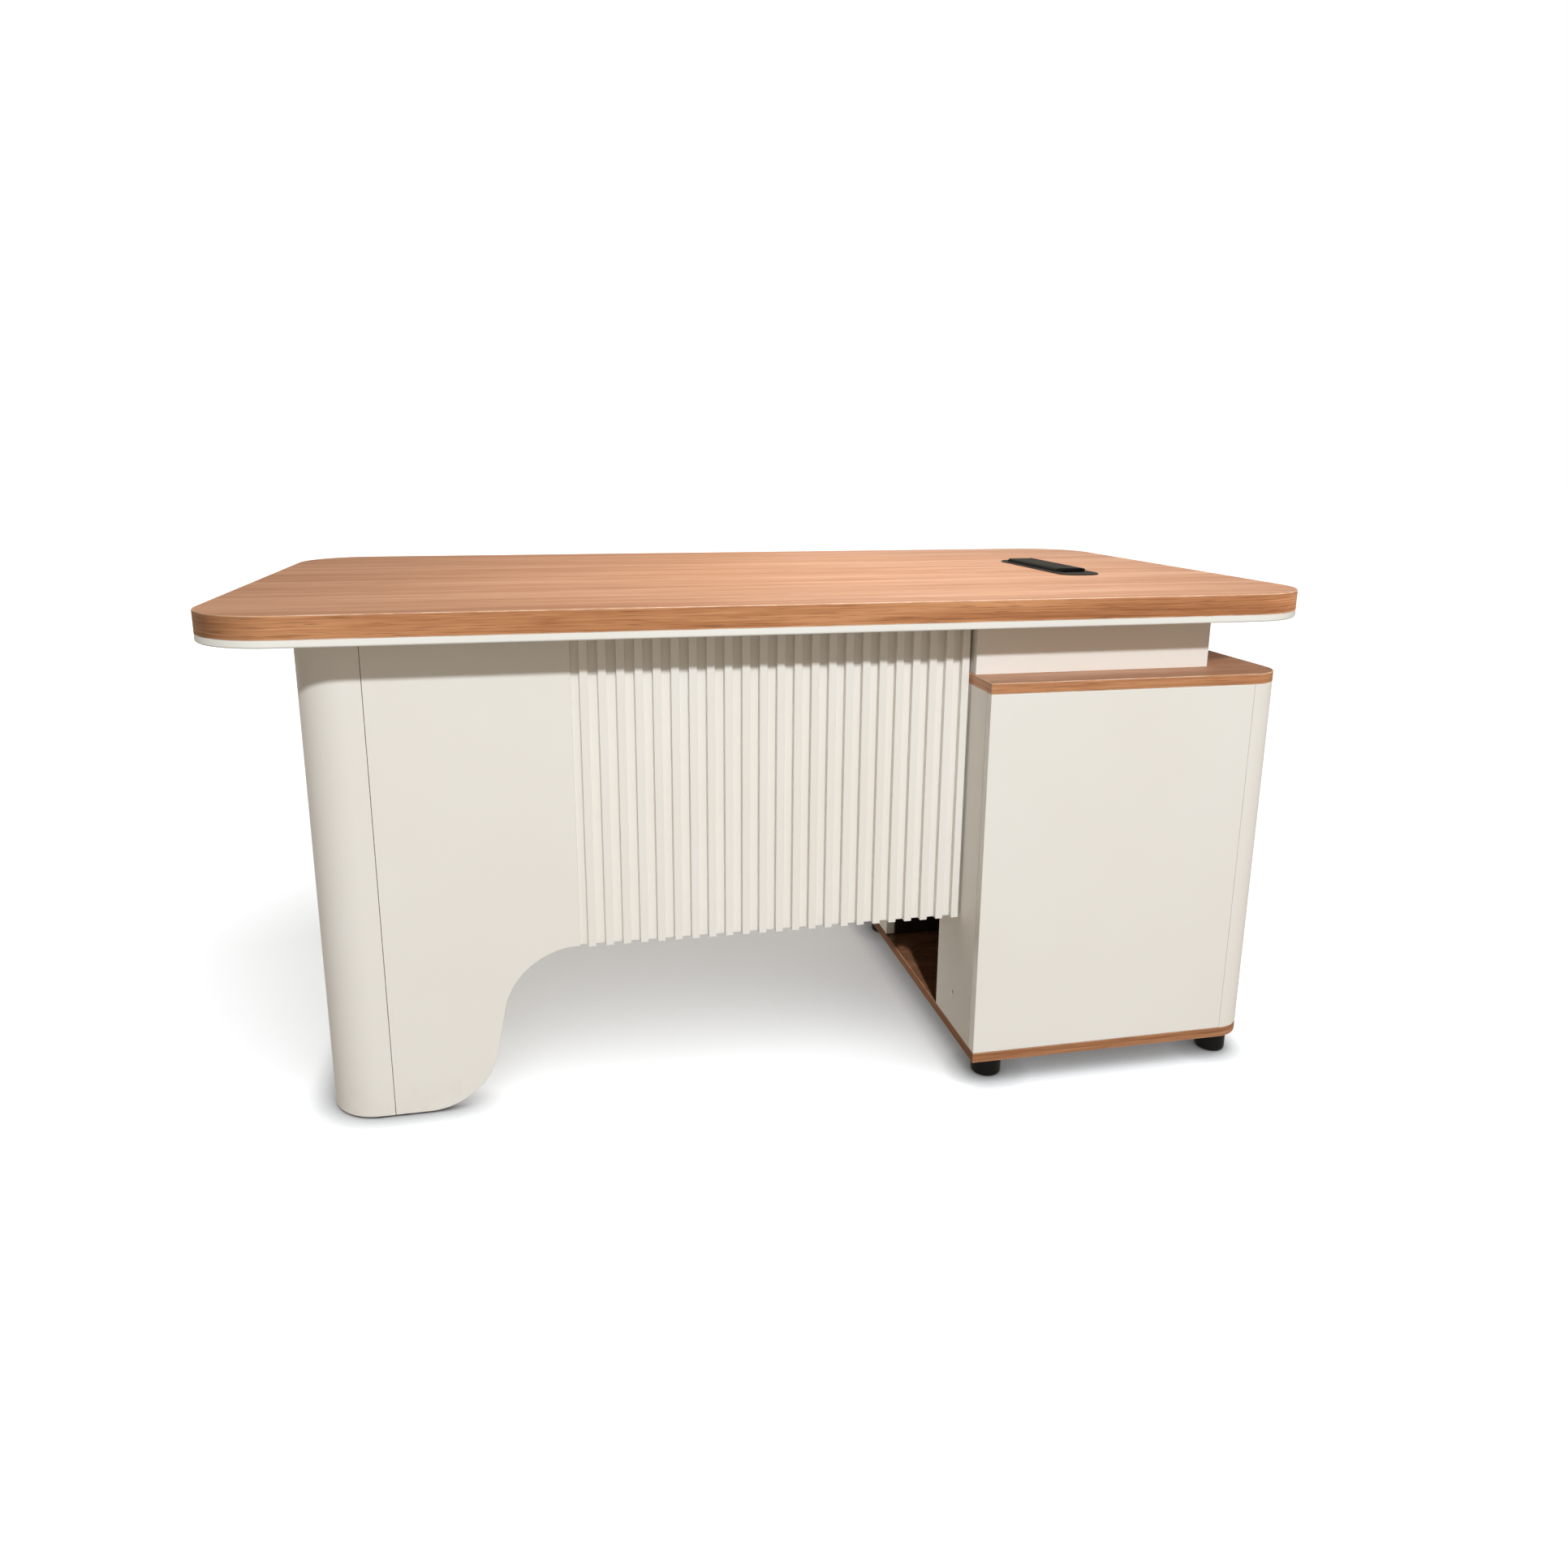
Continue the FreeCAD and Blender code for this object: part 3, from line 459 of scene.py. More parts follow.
@dataclass(frozen=True)
class WoodFinish(Finish):
    """Wood-look laminate or edge band with a straight grain, in a dark, a middle and a light tone."""

    tones: tuple[Colour, Colour, Colour]
    pore: Colour
    pore_share: float
    worn: Colour
    worn_share: float = 0.45
    laid: Laid = Laid.ON_BOARD
    turn: Triple = (0.0, 0.0, 0.0)
    waviness: float = 0.010
    relief: Pair = (0.5, 0.00006)
    ior: float = 1.48
    gloss: float = 0.5

    def dress(self, bench: Bench) -> Node:
        """Grain in three tones, dark pores, arrises lightened by wear and a painted highlight, and a satin
        sheen.

        Args:
            bench: The material's bench.

        Returns:
            The shader.
        """
        place = bench.place()
        along = bench.board() if self.laid is Laid.ON_BOARD else place
        along = bench.stretch(along, (1, 1, 1), self.turn)
        figure = EFFECTS.use(bench, EFFECTS.wood_figure, Vector=along, Waviness=self.waviness)
        colour = bench.ramp(figure["Tone"], self.tones)
        colour = bench.stain(colour, figure["Pore"], self.pore_share, self.pore)
        # Lighter arrises: partly wear, partly a painted highlight.
        colour = bench.stain(colour, self.rubbed(bench, place), self.worn_share, self.worn)
        rough = bench.span(figure["Tone"], (0, 1), self.sheen[::-1])
        plain = {"IOR": self.ior, "Specular IOR Level": self.gloss}
        return bench.surface(colour, rough, figure["Height"], self.relief, plain)


@dataclass(frozen=True)
class BoardFinish(Finish):
    """Plain coloured laminate: clouded a little, lighter on the arrises by wear and a painted highlight,
    dusty by the floor.
    """

    base: Colour
    cloud: Colour
    worn: Colour
    cloud_share: float = 0.7
    worn_share: float = 0.6
    dust: Colour = paint(206, 198, 186)
    dust_share: float = 0.22
    dust_reach: float = 0.07
    relief: Pair = (0.35, 0.00002)
    ior: float = 1.45

    def dress(self, bench: Bench) -> Node:
        """Clouds, a tone for each piece, wear with a painted highlight on the arrises, dust and a matt
        sheen.

        Args:
            bench: The material's bench.

        Returns:
            The shader.
        """
        place = bench.place()
        skin = EFFECTS.use(bench, EFFECTS.laminate_skin, Vector=place)
        dust = EFFECTS.use(bench, EFFECTS.floor_dust, Vector=place, Reach=self.dust_reach)
        clouded = bench.sum("MULTIPLY", skin["Cloud"], self.cloud_share)
        share = bench.sum("ADD", clouded, bench.mark(TONE), clamp=True)
        colour = bench.mix(share, self.base, self.cloud)
        # Lighter arrises: partly wear, partly a painted highlight.
        colour = bench.stain(colour, self.rubbed(bench, place), self.worn_share, self.worn)
        colour = bench.stain(colour, dust["Mask"], self.dust_share, self.dust)
        rough = bench.span(skin["Smudge"], (0, 1), self.sheen)
        return bench.surface(colour, rough, skin["Height"], self.relief, {"IOR": self.ior})


@dataclass(frozen=True)
class PlasticFinish(Finish):
    """Moulded plastic with a fine skin, and edges greyed by wear and a painted highlight."""

    base: Colour
    flow: Colour
    worn: Colour
    worn_share: float = 0.5
    relief: Pair = (0.4, 0.00004)
    ior: float = 1.5
    gloss: float = 0.5

    def dress(self, bench: Bench) -> Node:
        """Flow clouds, arrises greyed by wear and a painted highlight, and a pebbled skin.

        Args:
            bench: The material's bench.

        Returns:
            The shader.
        """
        place = bench.place()
        skin = EFFECTS.use(bench, EFFECTS.moulded_skin, Vector=place)
        colour = bench.mix(skin["Flow"], self.base, self.flow)
        # Greyed arrises: partly wear, partly a painted highlight.
        colour = bench.stain(colour, self.rubbed(bench, place), self.worn_share, self.worn)
        rough = bench.span(skin["Flow"], (0, 1), self.sheen)
        plain = {"IOR": self.ior, "Specular IOR Level": self.gloss}
        return bench.surface(colour, rough, skin["Height"], self.relief, plain)


@dataclass(frozen=True)
class SteelFinish(Finish):
    """Zinc-plated sheet steel."""

    dark: Colour
    light: Colour
    relief: Pair = (0.3, 0.00004)

    def dress(self, bench: Bench) -> Node:
        """Flakes and rolling lines in the colour, the sheen and the relief.

        Args:
            bench: The material's bench.

        Returns:
            The shader.
        """
        spangle = EFFECTS.use(bench, EFFECTS.zinc_spangle, Vector=bench.place())
        colour = bench.mix(spangle["Shade"], self.dark, self.light)
        rough = bench.span(spangle["Shade"], (0, 1), self.sheen)
        return bench.surface(colour, rough, spangle["Height"], self.relief, {"Metallic": 1.0})


# The worn colour of each finish lightens its arrises: partly wear, partly a painted highlight.
WALNUT_FACE = WoodFinish(
    name="walnut_face",
    slot="walnut_laminate",
    sheen=(0.46, 0.58),
    tones=(paint(168, 116, 84), paint(192, 140, 106), paint(212, 164, 130)),
    pore=paint(132, 84, 56),
    pore_share=0.35,
    worn=paint(244, 210, 182),
    worn_share=0.7,
    gloss=0.32,
)
WALNUT_BAND = WoodFinish(
    name="walnut_edge_band",
    slot="walnut_laminate",
    sheen=(0.36, 0.50),
    tones=(paint(144, 90, 55), paint(194, 134, 91), paint(222, 164, 119)),
    pore=paint(112, 66, 38),
    pore_share=0.6,
    worn=paint(248, 216, 190),
    worn_share=0.9,
    waviness=0.006,
)
# A darker copy of the walnut edge band for the cabinet's bottom board: painted shade.
BASE_BAND_SHADED = replace(
    WALNUT_BAND,
    name="base_edge_band",
    tones=(paint(130, 81, 50), paint(176, 121, 83), paint(202, 149, 109)),
    pore=paint(102, 60, 35),
    worn=paint(232, 196, 166),
    worn_share=0.45,
)
# A darker copy of the walnut laminate for the cabinet's bottom board: painted shade for the niche.
WALNUT_SHADED_INSIDE = WoodFinish(
    name="walnut_inside",
    slot="walnut_laminate",
    sheen=(0.20, 0.30),
    tones=(paint(88, 59, 41), paint(112, 78, 57), paint(132, 95, 72)),
    pore=paint(62, 40, 27),
    pore_share=0.4,
    worn=paint(150, 108, 82),
    gloss=0.8,
)
DARK_WALNUT = WoodFinish(
    name="dark_walnut_face",
    slot="dark_walnut",
    sheen=(0.42, 0.58),
    tones=(paint(22, 13, 9), paint(36, 23, 15), paint(52, 35, 24)),
    pore=paint(14, 8, 6),
    pore_share=0.5,
    worn=paint(70, 50, 36),
    laid=Laid.IN_SPACE,
    turn=(0.0, math.radians(90), 0.0),
)
CREAM = BoardFinish(
    name="cream_face",
    slot="cream_laminate",
    sheen=(0.40, 0.54),
    base=paint(243, 239, 233),
    cloud=paint(239, 234, 226),
    worn=paint(248, 246, 241),
)
WHITE = BoardFinish(
    name="white_face",
    slot="white_board",
    sheen=(0.30, 0.42),
    base=paint(246, 244, 239),
    cloud=paint(240, 237, 231),
    worn=paint(250, 249, 246),
)
DRAWER_BOARD = BoardFinish(
    name="drawer_lining",
    slot="drawer_board",
    sheen=(0.45, 0.60),
    base=paint(205, 203, 197),
    cloud=paint(196, 193, 186),
    worn=paint(216, 214, 208),
)
BLACK = PlasticFinish(
    name="black_moulding",
    slot="black_plastic",
    sheen=(0.22, 0.34),
    base=paint(9, 9, 9),
    flow=paint(14, 14, 13),
    worn=paint(36, 36, 35),
    gloss=0.35,
)
CHARCOAL = PlasticFinish(
    name="charcoal_moulding",
    slot="charcoal_plastic",
    sheen=(0.36, 0.46),
    base=paint(13, 14, 13),
    flow=paint(19, 20, 19),
    worn=paint(84, 85, 82),
    gloss=0.25,
)
ZINC = SteelFinish(
    name="zinc_plate",
    slot="zinc_steel",
    sheen=(0.28, 0.44),
    dark=paint(150, 153, 156),
    light=paint(205, 208, 210),
)


def new_shape(grained: bool = False) -> BMesh:
    """An empty shape that can carry arris and tone marks.

    Args:
        grained: Whether it also carries a grain map.

    Returns:
        The shape.
    """
    bm = bmesh.new()
    bm.faces.layers.float.new(ARRIS)
    bm.faces.layers.float.new(TONE)
    if grained:
        bm.loops.layers.uv.new(GRAIN_MAP)
    return bm


def outline(bm: BMesh, corners: Sequence[Vector], radii: dict[int, float], steps: int) -> BMFace:
    """A flat face through some corners, a few of them rounded.

    Args:
        bm: The shape that gets the face.
        corners: The corners in order.
        radii: The radius of each rounded corner, by its number.
        steps: Straight steps in each round.

    Returns:
        The face.
    """
    known = set(bm.faces)
    verts = [bm.verts.new(corner) for corner in corners]
    bm.faces.new(verts)
    for number, radius in radii.items():
        here = corners[number]
        back = corners[number - 1] - here
        ahead = corners[(number + 1) % len(corners)] - here
        reach = radius * math.tan((math.pi - back.angle(ahead)) / 2)
        bmesh.ops.bevel(
            bm,
            geom=[verts[number]],
            offset=reach,
            offset_type="OFFSET",
            affect="VERTICES",
            segments=steps,
            profile=0.5,
            clamp_overlap=False,
            material=-1,
        )
    return next(face for face in bm.faces if face not in known)


def raise_faces(bm: BMesh, faces: Iterable[BMFace], step: Vector) -> None:
    """Extrude flat faces into a solid and turn its faces outwards.

    Args:
        bm: The shape.
        faces: The flat faces.
        step: How far, and which way.
    """
    made = bmesh.ops.extrude_face_region(bm, geom=list(faces))
    bmesh.ops.translate(bm, vec=step, verts=[item for item in made["geom"] if isinstance(item, BMVert)])
    bmesh.ops.recalc_face_normals(bm, faces=bm.faces[:])


def prism(
    bm: BMesh, corners: Sequence[Vector], radii: dict[int, float], step: Vector, steps: int = CORNER_STEPS
) -> list[Vector]:
    """Add a solid drawn out of a flat outline, a few of its corners rounded.

    Args:
        bm: The shape.
        corners: The outline's corners in order.
        radii: The radius of each rounded corner, by its number.
        step: How far it is drawn out, and which way.
        steps: Straight steps in each round.

    Returns:
        The outline's points in order.
    """
    face = outline(bm, corners, radii, steps)
    rim = [vert.co.copy() for vert in face.verts]
    raise_faces(bm, [face], step)
    return rim


def soften(bm: BMesh, size: float, steps: int = 2, pick: Callable[[BMEdge], bool] | None = None) -> None:
    """Round the sharp edges and mark the new faces as arris.

    Args:
        bm: The shape.
        size: Width of the round.
        steps: Straight steps in the round.
        pick: A rule that narrows the choice of edges.
    """
    mark = bm.faces.layers.float[ARRIS]
    edges = [edge for edge in bm.edges if edge.is_manifold and edge.calc_face_angle() > SHARP_ANGLE]
    if pick is not None:
        edges = [edge for edge in edges if pick(edge)]
    made = bmesh.ops.bevel(
        bm,
        geom=edges,
        offset=size,
        offset_type="OFFSET",
        affect="EDGES",
        segments=steps,
        profile=0.5,
        clamp_overlap=True,
        material=-1,
    )
    for face in made["faces"]:
        face[mark] = 1.0


def block(bm: BMesh, low: Vector, high: Vector) -> list[BMVert]:
    """Add a plain block.

    Args:
        bm: The shape.
        low: The block's lowest corner.
        high: Its highest corner.

    Returns:
        Its vertices.
    """
    verts = bmesh.ops.create_cube(bm, size=1.0)["verts"]
    bmesh.ops.scale(bm, vec=high - low, verts=verts)
    bmesh.ops.translate(bm, vec=(low + high) / 2, verts=verts)
    return verts


def turned(bm: BMesh, foot: Vector, axis: Vector, profile: Sequence[Pair], sides: int) -> None:
    """Add a turned solid.

    Args:
        bm: The shape.
        foot: The middle of the solid's start.
        axis: Direction in which the solid runs.
        profile: Pairs of radius and distance along the axis, the first and last on the axis.
        sides: Sides of the round.
    """
    across = axis.orthogonal().normalized()
    verts = [bm.verts.new(foot + across * radius + axis * along) for radius, along in profile]
    edges = [bm.edges.new(pair) for pair in zip(verts, verts[1:])]
    known = set(bm.faces)
    bmesh.ops.spin(
        bm,
        geom=verts + edges,
        cent=foot,
        axis=axis,
        angle=math.tau,
        steps=sides,
        use_merge=True,
        use_duplicate=False,
    )
    fresh = [face for face in bm.faces if face not in known]
    rings = list(dict.fromkeys(vert for face in fresh for vert in face.verts))
    bmesh.ops.remove_doubles(bm, verts=rings, dist=HAIR)
    bmesh.ops.recalc_face_normals(bm, faces=[face for face in bm.faces if face not in known])


def cut_square(bm: BMesh, low: Vector, high: Vector) -> None:
    """Cut a square opening upright through a flat plate and close its walls.

    Args:
        bm: The plate.
        low: The opening's lowest corner.
        high: Its highest corner.
    """
    for spot, normal in ((low, RIGHT), (low, BACK), (high, RIGHT), (high, BACK)):
        geom = bm.verts[:] + bm.edges[:] + bm.faces[:]
        bmesh.ops.bisect_plane(bm, geom=geom, dist=CUT_REACH, plane_co=spot, plane_no=normal)
    inside = []
    for face in bm.faces:
        middle = face.calc_center_median()
        if low.x < middle.x < high.x and low.y < middle.y < high.y:
            inside.append(face)
    bmesh.ops.delete(bm, geom=inside, context="FACES")
    bmesh.ops.bridge_loops(bm, edges=[edge for edge in bm.edges if edge.is_boundary])
    bmesh.ops.recalc_face_normals(bm, faces=bm.faces[:])


def join(bm: BMesh, other: BMesh) -> None:
    """Take another shape into a shape.

    Args:
        bm: The shape.
        other: The other shape, which is used up.
    """
    scrap = bpy.data.meshes.new("joined")
    other.to_mesh(scrap)
    other.free()
    bm.from_mesh(scrap)
    bpy.data.meshes.remove(scrap)


def lay_grain(bm: BMesh, rim: Sequence[Vector], start: float) -> None:
    """Write the grain map: along X on the flats, and round the rim on the edge band.

    Args:
        bm: The board's shape.
        rim: The board's outline in order.
        start: Where the edge band begins across the pattern, in metres.
    """
    grain = bm.loops.layers.uv[GRAIN_MAP]
    runs = [0.0]
    for here, ahead in zip(rim, rim[1:]):
        runs.append(runs[-1] + (ahead.xy - here.xy).length)
    whole = runs[-1] + (rim[0].xy - rim[-1].xy).length
    tree = KDTree(len(rim))
    for number, spot in enumerate(rim):
        tree.insert((spot.x, spot.y, 0), number)
    tree.balance()
    for face in bm.faces:
        if abs(face.normal.z) > FLAT:
            for loop in face.loops:
                loop[grain].uv = loop.vert.co.xy
            continue
        spots = [runs[tree.find((loop.vert.co.x, loop.vert.co.y, 0))[1]] for loop in face.loops]
        if max(spots) - min(spots) > whole / 2:
            spots = [spot + whole if spot < whole / 2 else spot for spot in spots]
        for loop, spot in zip(face.loops, spots):
            loop[grain].uv = (spot, start + loop.vert.co.z)


def deliver(name: str, bm: BMesh, finishes: Sequence[Finish], *nodes: str, body: str = "desk") -> None:
    """Make a shape an object of the desk, dressed and hung on its body.

    Args:
        name: The piece's name.
        bm: Its shape, which is used up.
        finishes: Its finishes, in the order of the faces' material numbers.
        nodes: The solids that it stands for.
        body: The body that it moves with.
    """
    for face in bm.faces:
        face.smooth = True
    for edge in bm.edges:
        edge.smooth = edge.is_manifold and edge.calc_face_angle() < SHARP_ANGLE
    mesh = bpy.data.meshes.new(name)
    bm.to_mesh(mesh)
    bm.free()
    for finish in finishes:
        mesh.materials.append(finish.material())
    piece = bpy.data.objects.new(name, mesh)
    bpy.context.scene.collection.objects.link(piece)
    flats = piece.modifiers.new("true_flats", "WEIGHTED_NORMAL")
    flats.keep_sharp = True
    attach(piece, body)
    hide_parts(*nodes)
    LOG.info("%s on %s, %d faces", name, body, len(mesh.polygons))


def plain(node: str, finish: Finish) -> None:
    """Give a finish to a solid that stays as it is.

    Args:
        node: The solid.
        finish: Its finish.
    """
    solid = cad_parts[node]
    solid.data.materials.clear()
    solid.data.materials.append(finish.material())
    LOG.info("%s kept, %s", node, finish.name)


def flat_corners(low: Vector, high: Vector, z: float) -> list[Vector]:
    """The four corners of a level rectangle, from the visitor's left, round to the right."""
    spots = [(low.x, low.y), (high.x, low.y), (high.x, high.y), (low.x, high.y)]
    return [Vector((x, y, z)) for x, y in spots]


def upright(spots: Sequence[Pair], y: float) -> list[Vector]:
    """The corners of an outline that stands across the desk, from its X and Z."""
    return [Vector((x, y, z)) for x, z in spots]


def board(
    name: str,
    node: str,
    finish: Finish,
    body: str = "desk",
    arris: float = BOARD_ARRIS,
    joint: Triple = (0, 0, 0),
) -> None:
    """A plain board with eased edges, in the place of one solid.

    Args:
        name: The piece's name.
        node: The solid that it stands for.
        finish: Its finish.
        body: The body that it moves with.
        arris: Width of the eased edges.
        joint: What it leaves open at each end along the three axes.
    """
    low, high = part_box(node)
    ease = Vector(joint)
    bm = new_shape()
    block(bm, low + ease, high - ease)
    soften(bm, arris)
    deliver(name, bm, [finish], node, body=body)


def wood_board(
    name: str,
    node: str,
    radii: dict[int, float],
    arris: float,
    face_finish: WoodFinish = WALNUT_FACE,
    band_finish: WoodFinish = WALNUT_BAND,
    opening: Sequence[Vector] = (),
) -> None:
    """A wood-look board with a banded edge that the grain follows.

    Args:
        name: The piece's name.
        node: The solid that it stands for.
        radii: The radius of each rounded corner, by its number.
        arris: Width of the eased edges.
        face_finish: Finish of the flats.
        band_finish: Finish of the edge band.
        opening: Lowest and highest corner of a square opening, if there is one.
    """
    low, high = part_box(node)
    bm = new_shape(grained=True)
    rim = prism(bm, flat_corners(low, high, low.z), radii, UP * (high.z - low.z))
    rear = max(range(len(rim)), key=lambda number: rim[number].y)
    soften(bm, arris, 3, lambda edge: abs(edge.verts[0].co.z - edge.verts[1].co.z) < HAIR)
    lay_grain(bm, rim[rear:] + rim[:rear], BAND_START + low.z)
    for side in bm.faces:
        side.material_index = 0 if abs(side.normal.z) > FLAT else 1
    if opening:
        cut_square(bm, *opening)
    deliver(name, bm, [face_finish, band_finish], node)


def bent_post(name: str, node: str, right: bool, wall: float, radius: float, joint: float = JOINT) -> None:
    """A bent corner post that joins two panels by a round.

    Args:
        name: The piece's name.
        node: The solid that it stands for.
        right: Whether it is a corner on the visitor's right.
        wall: Thickness of the post's wall.
        radius: Outer radius of the round.
        joint: What it leaves open towards each panel.
    """
    low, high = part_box(node)
    side = 1 if right else -1
    near = high.x if right else low.x
    edge = low.x if right else high.x
    inner = near - side * wall
    spots = [
        (near, low.y),
        (edge + side * joint, low.y),
        (edge + side * joint, low.y + wall / 2),
        (edge - side * joint, low.y + wall / 2),
        (edge - side * joint, low.y + wall),
        (inner, low.y + wall),
        (inner, high.y + joint),
        (near - side * wall / 2, high.y + joint),
        (near - side * wall / 2, high.y - joint),
        (near, high.y - joint),
    ]
    corners = [Vector((x, y, low.z)) for x, y in spots]
    bm = new_shape()
    prism(bm, corners, {0: radius, 5: radius - wall}, UP * (high.z - low.z), BEND_STEPS)
    skin = radius - wall / 4
    bend = Vector((near - side * radius, low.y + radius))

    def reach(vert: BMVert) -> float:
        """How far out a vertex lies from the bend's middle, in the bend's own quarter."""
        return math.hypot(max(0.0, side * (vert.co.x - bend.x)), min(0.0, vert.co.y - bend.y))

    soften(bm, POST_ARRIS, pick=lambda edge: all(reach(vert) >= skin for vert in edge.verts))
    deliver(name, bm, [CREAM], node)


def finger_front(name: str, node: str, body: str) -> None:
    """A front without a handle, bevelled behind its top edge for the fingers.

    Args:
        name: The piece's name.
        node: The solid that it stands for.
        body: The body that it moves with.
    """
    low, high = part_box(node)
    spots = [
        (low.x, low.z),
        (high.x, low.z),
        (high.x, high.z - FRONT_BEVEL),
        (high.x - FRONT_BEVEL, high.z),
        (low.x, high.z),
    ]
    bm = new_shape()
    prism(bm, upright(spots, low.y), {}, BACK * (high.y - low.y))
    soften(bm, FRONT_ARRIS, 3)
    deliver(name, bm, [CREAM], node, body=body)


@dataclass
class Desktop:
    """The wood top and the thin white board under it."""

    corner: float = 0.110
    arris: float = 0.0012
    underlay_round: float = 0.003
    opening: Pair = (0.043, 0.210)

    def build(self) -> None:
        """Build both boards with the opening for the cable box."""
        low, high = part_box("cable_box_frame")
        middle = (low + high) / 2
        half = Vector((*self.opening, 0)) / 2
        opening = (middle - half, middle + half)
        corners = {number: self.corner for number in range(4)}
        wood_board("walnut_top", "desktop_board", corners, self.arris, opening=opening)

        low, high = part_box("desktop_underlay")
        bm = new_shape()
        prism(bm, flat_corners(low, high, low.z), corners, UP * (high.z - low.z))
        soften(bm, self.underlay_round, 4, lambda edge: max(vert.co.z for vert in edge.verts) < low.z + HAIR)
        cut_square(bm, *opening)
        deliver("white_underlay", bm, [WHITE], "desktop_underlay")


@dataclass
class CurvedLeg:
    """The left leg: bent post, plain panel with the S-cut, side panel and glides."""

    wall: float = 0.018
    post_radius: float = 0.072
    foot_corner: float = 0.132
    foot_radius: float = 0.102
    arch_lean: float = 0.048
    arch_rise: float = 0.241
    arch_radius: float = 0.108
    arch_steps: int = 32
    panel_arris: float = 0.0008
    glide_radius: float = 0.007
    glide_height: float = 0.003
    glide_tread: float = 0.8
    glide_arris: float = 0.0006
    glide_setback: float = 0.045
    glide_sides: int = 24

    def build(self) -> None:
        """Build the leg's pieces."""
        bent_post("leg_post", "leg_corner_post", False, self.wall, self.post_radius)
        self.build_panel()
        board("leg_side", "leg_side_panel", CREAM, joint=(0, JOINT, 0))
        self.build_glides()

    def build_panel(self) -> None:
        """The plain panel, cut in an S from the foot up to the arch."""
        low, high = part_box("leg_front_panel")
        low.x += JOINT
        foot = low.x + self.foot_corner
        arch = low.z + self.arch_rise
        spots = [
            (low.x, low.z),
            (foot, low.z),
            (foot + self.arch_lean, arch),
            (high.x, arch),
            (high.x, high.z),
            (low.x, high.z),
        ]
        rounds = {1: self.foot_radius, 2: self.arch_radius}
        bm = new_shape()
        prism(bm, upright(spots, low.y), rounds, BACK * (high.y - low.y), self.arch_steps)
        soften(bm, self.panel_arris)
        deliver("s_cut_panel", bm, [CREAM], "leg_front_panel")

    def build_glides(self) -> None:
        """Round pads under the leg's walls."""
        low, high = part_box("leg_glides")
        post_low, post_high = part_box("leg_corner_post")
        radius, height = self.glide_radius, self.glide_height
        wall_x = post_low.x + self.wall / 2
        wall_y = post_low.y + self.wall / 2
        spots = [
            (post_low.x + self.post_radius, wall_y),
            (post_high.x + 2 * radius, wall_y),
            (wall_x, post_high.y + self.glide_setback),
            (wall_x, high.y - radius),
        ]
        tread = radius * self.glide_tread
        profile = [(0, 0), (tread, 0), (radius, self.glide_arris), (radius, height), (0, height)]
        bm = new_shape()
        for x, y in spots:
            turned(bm, Vector((x, y, low.z)), UP, profile, self.glide_sides)
        deliver("leg_glide_pads", bm, [BLACK], "leg_glides")


@dataclass
class SlattedPanel:
    """The modesty panel: a backing board with a row of upright slats."""

    slats: int = 23
    slat_width: float = 0.0114
    arris: float = 0.0008
    seed: int = 7
    tone_spread: Pair = (-0.25, 0.35)

    def build(self) -> None:
        """Build the backing, the slats and the batten behind."""
        board("slat_backing", "modesty_backing_board", CREAM)
        board("top_batten", "modesty_top_batten", CREAM)
        low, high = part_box("tambour_slats")
        pitch = (high.x - low.x - self.slat_width) / (self.slats - 1)
        chance = random.Random(self.seed)
        bm = new_shape()
        tone = bm.faces.layers.float[TONE]
        for number in range(self.slats):
            left = low.x + number * pitch
            ends = (Vector((left, low.y, low.z)), Vector((left + self.slat_width, high.y, high.z)))
            verts = block(bm, *ends)
            share = chance.uniform(*self.tone_spread)
            for face in {face for vert in verts for face in vert.link_faces}:
                face[tone] = share
        soften(bm, self.arris)
        deliver("slats", bm, [CREAM], "tambour_slats")


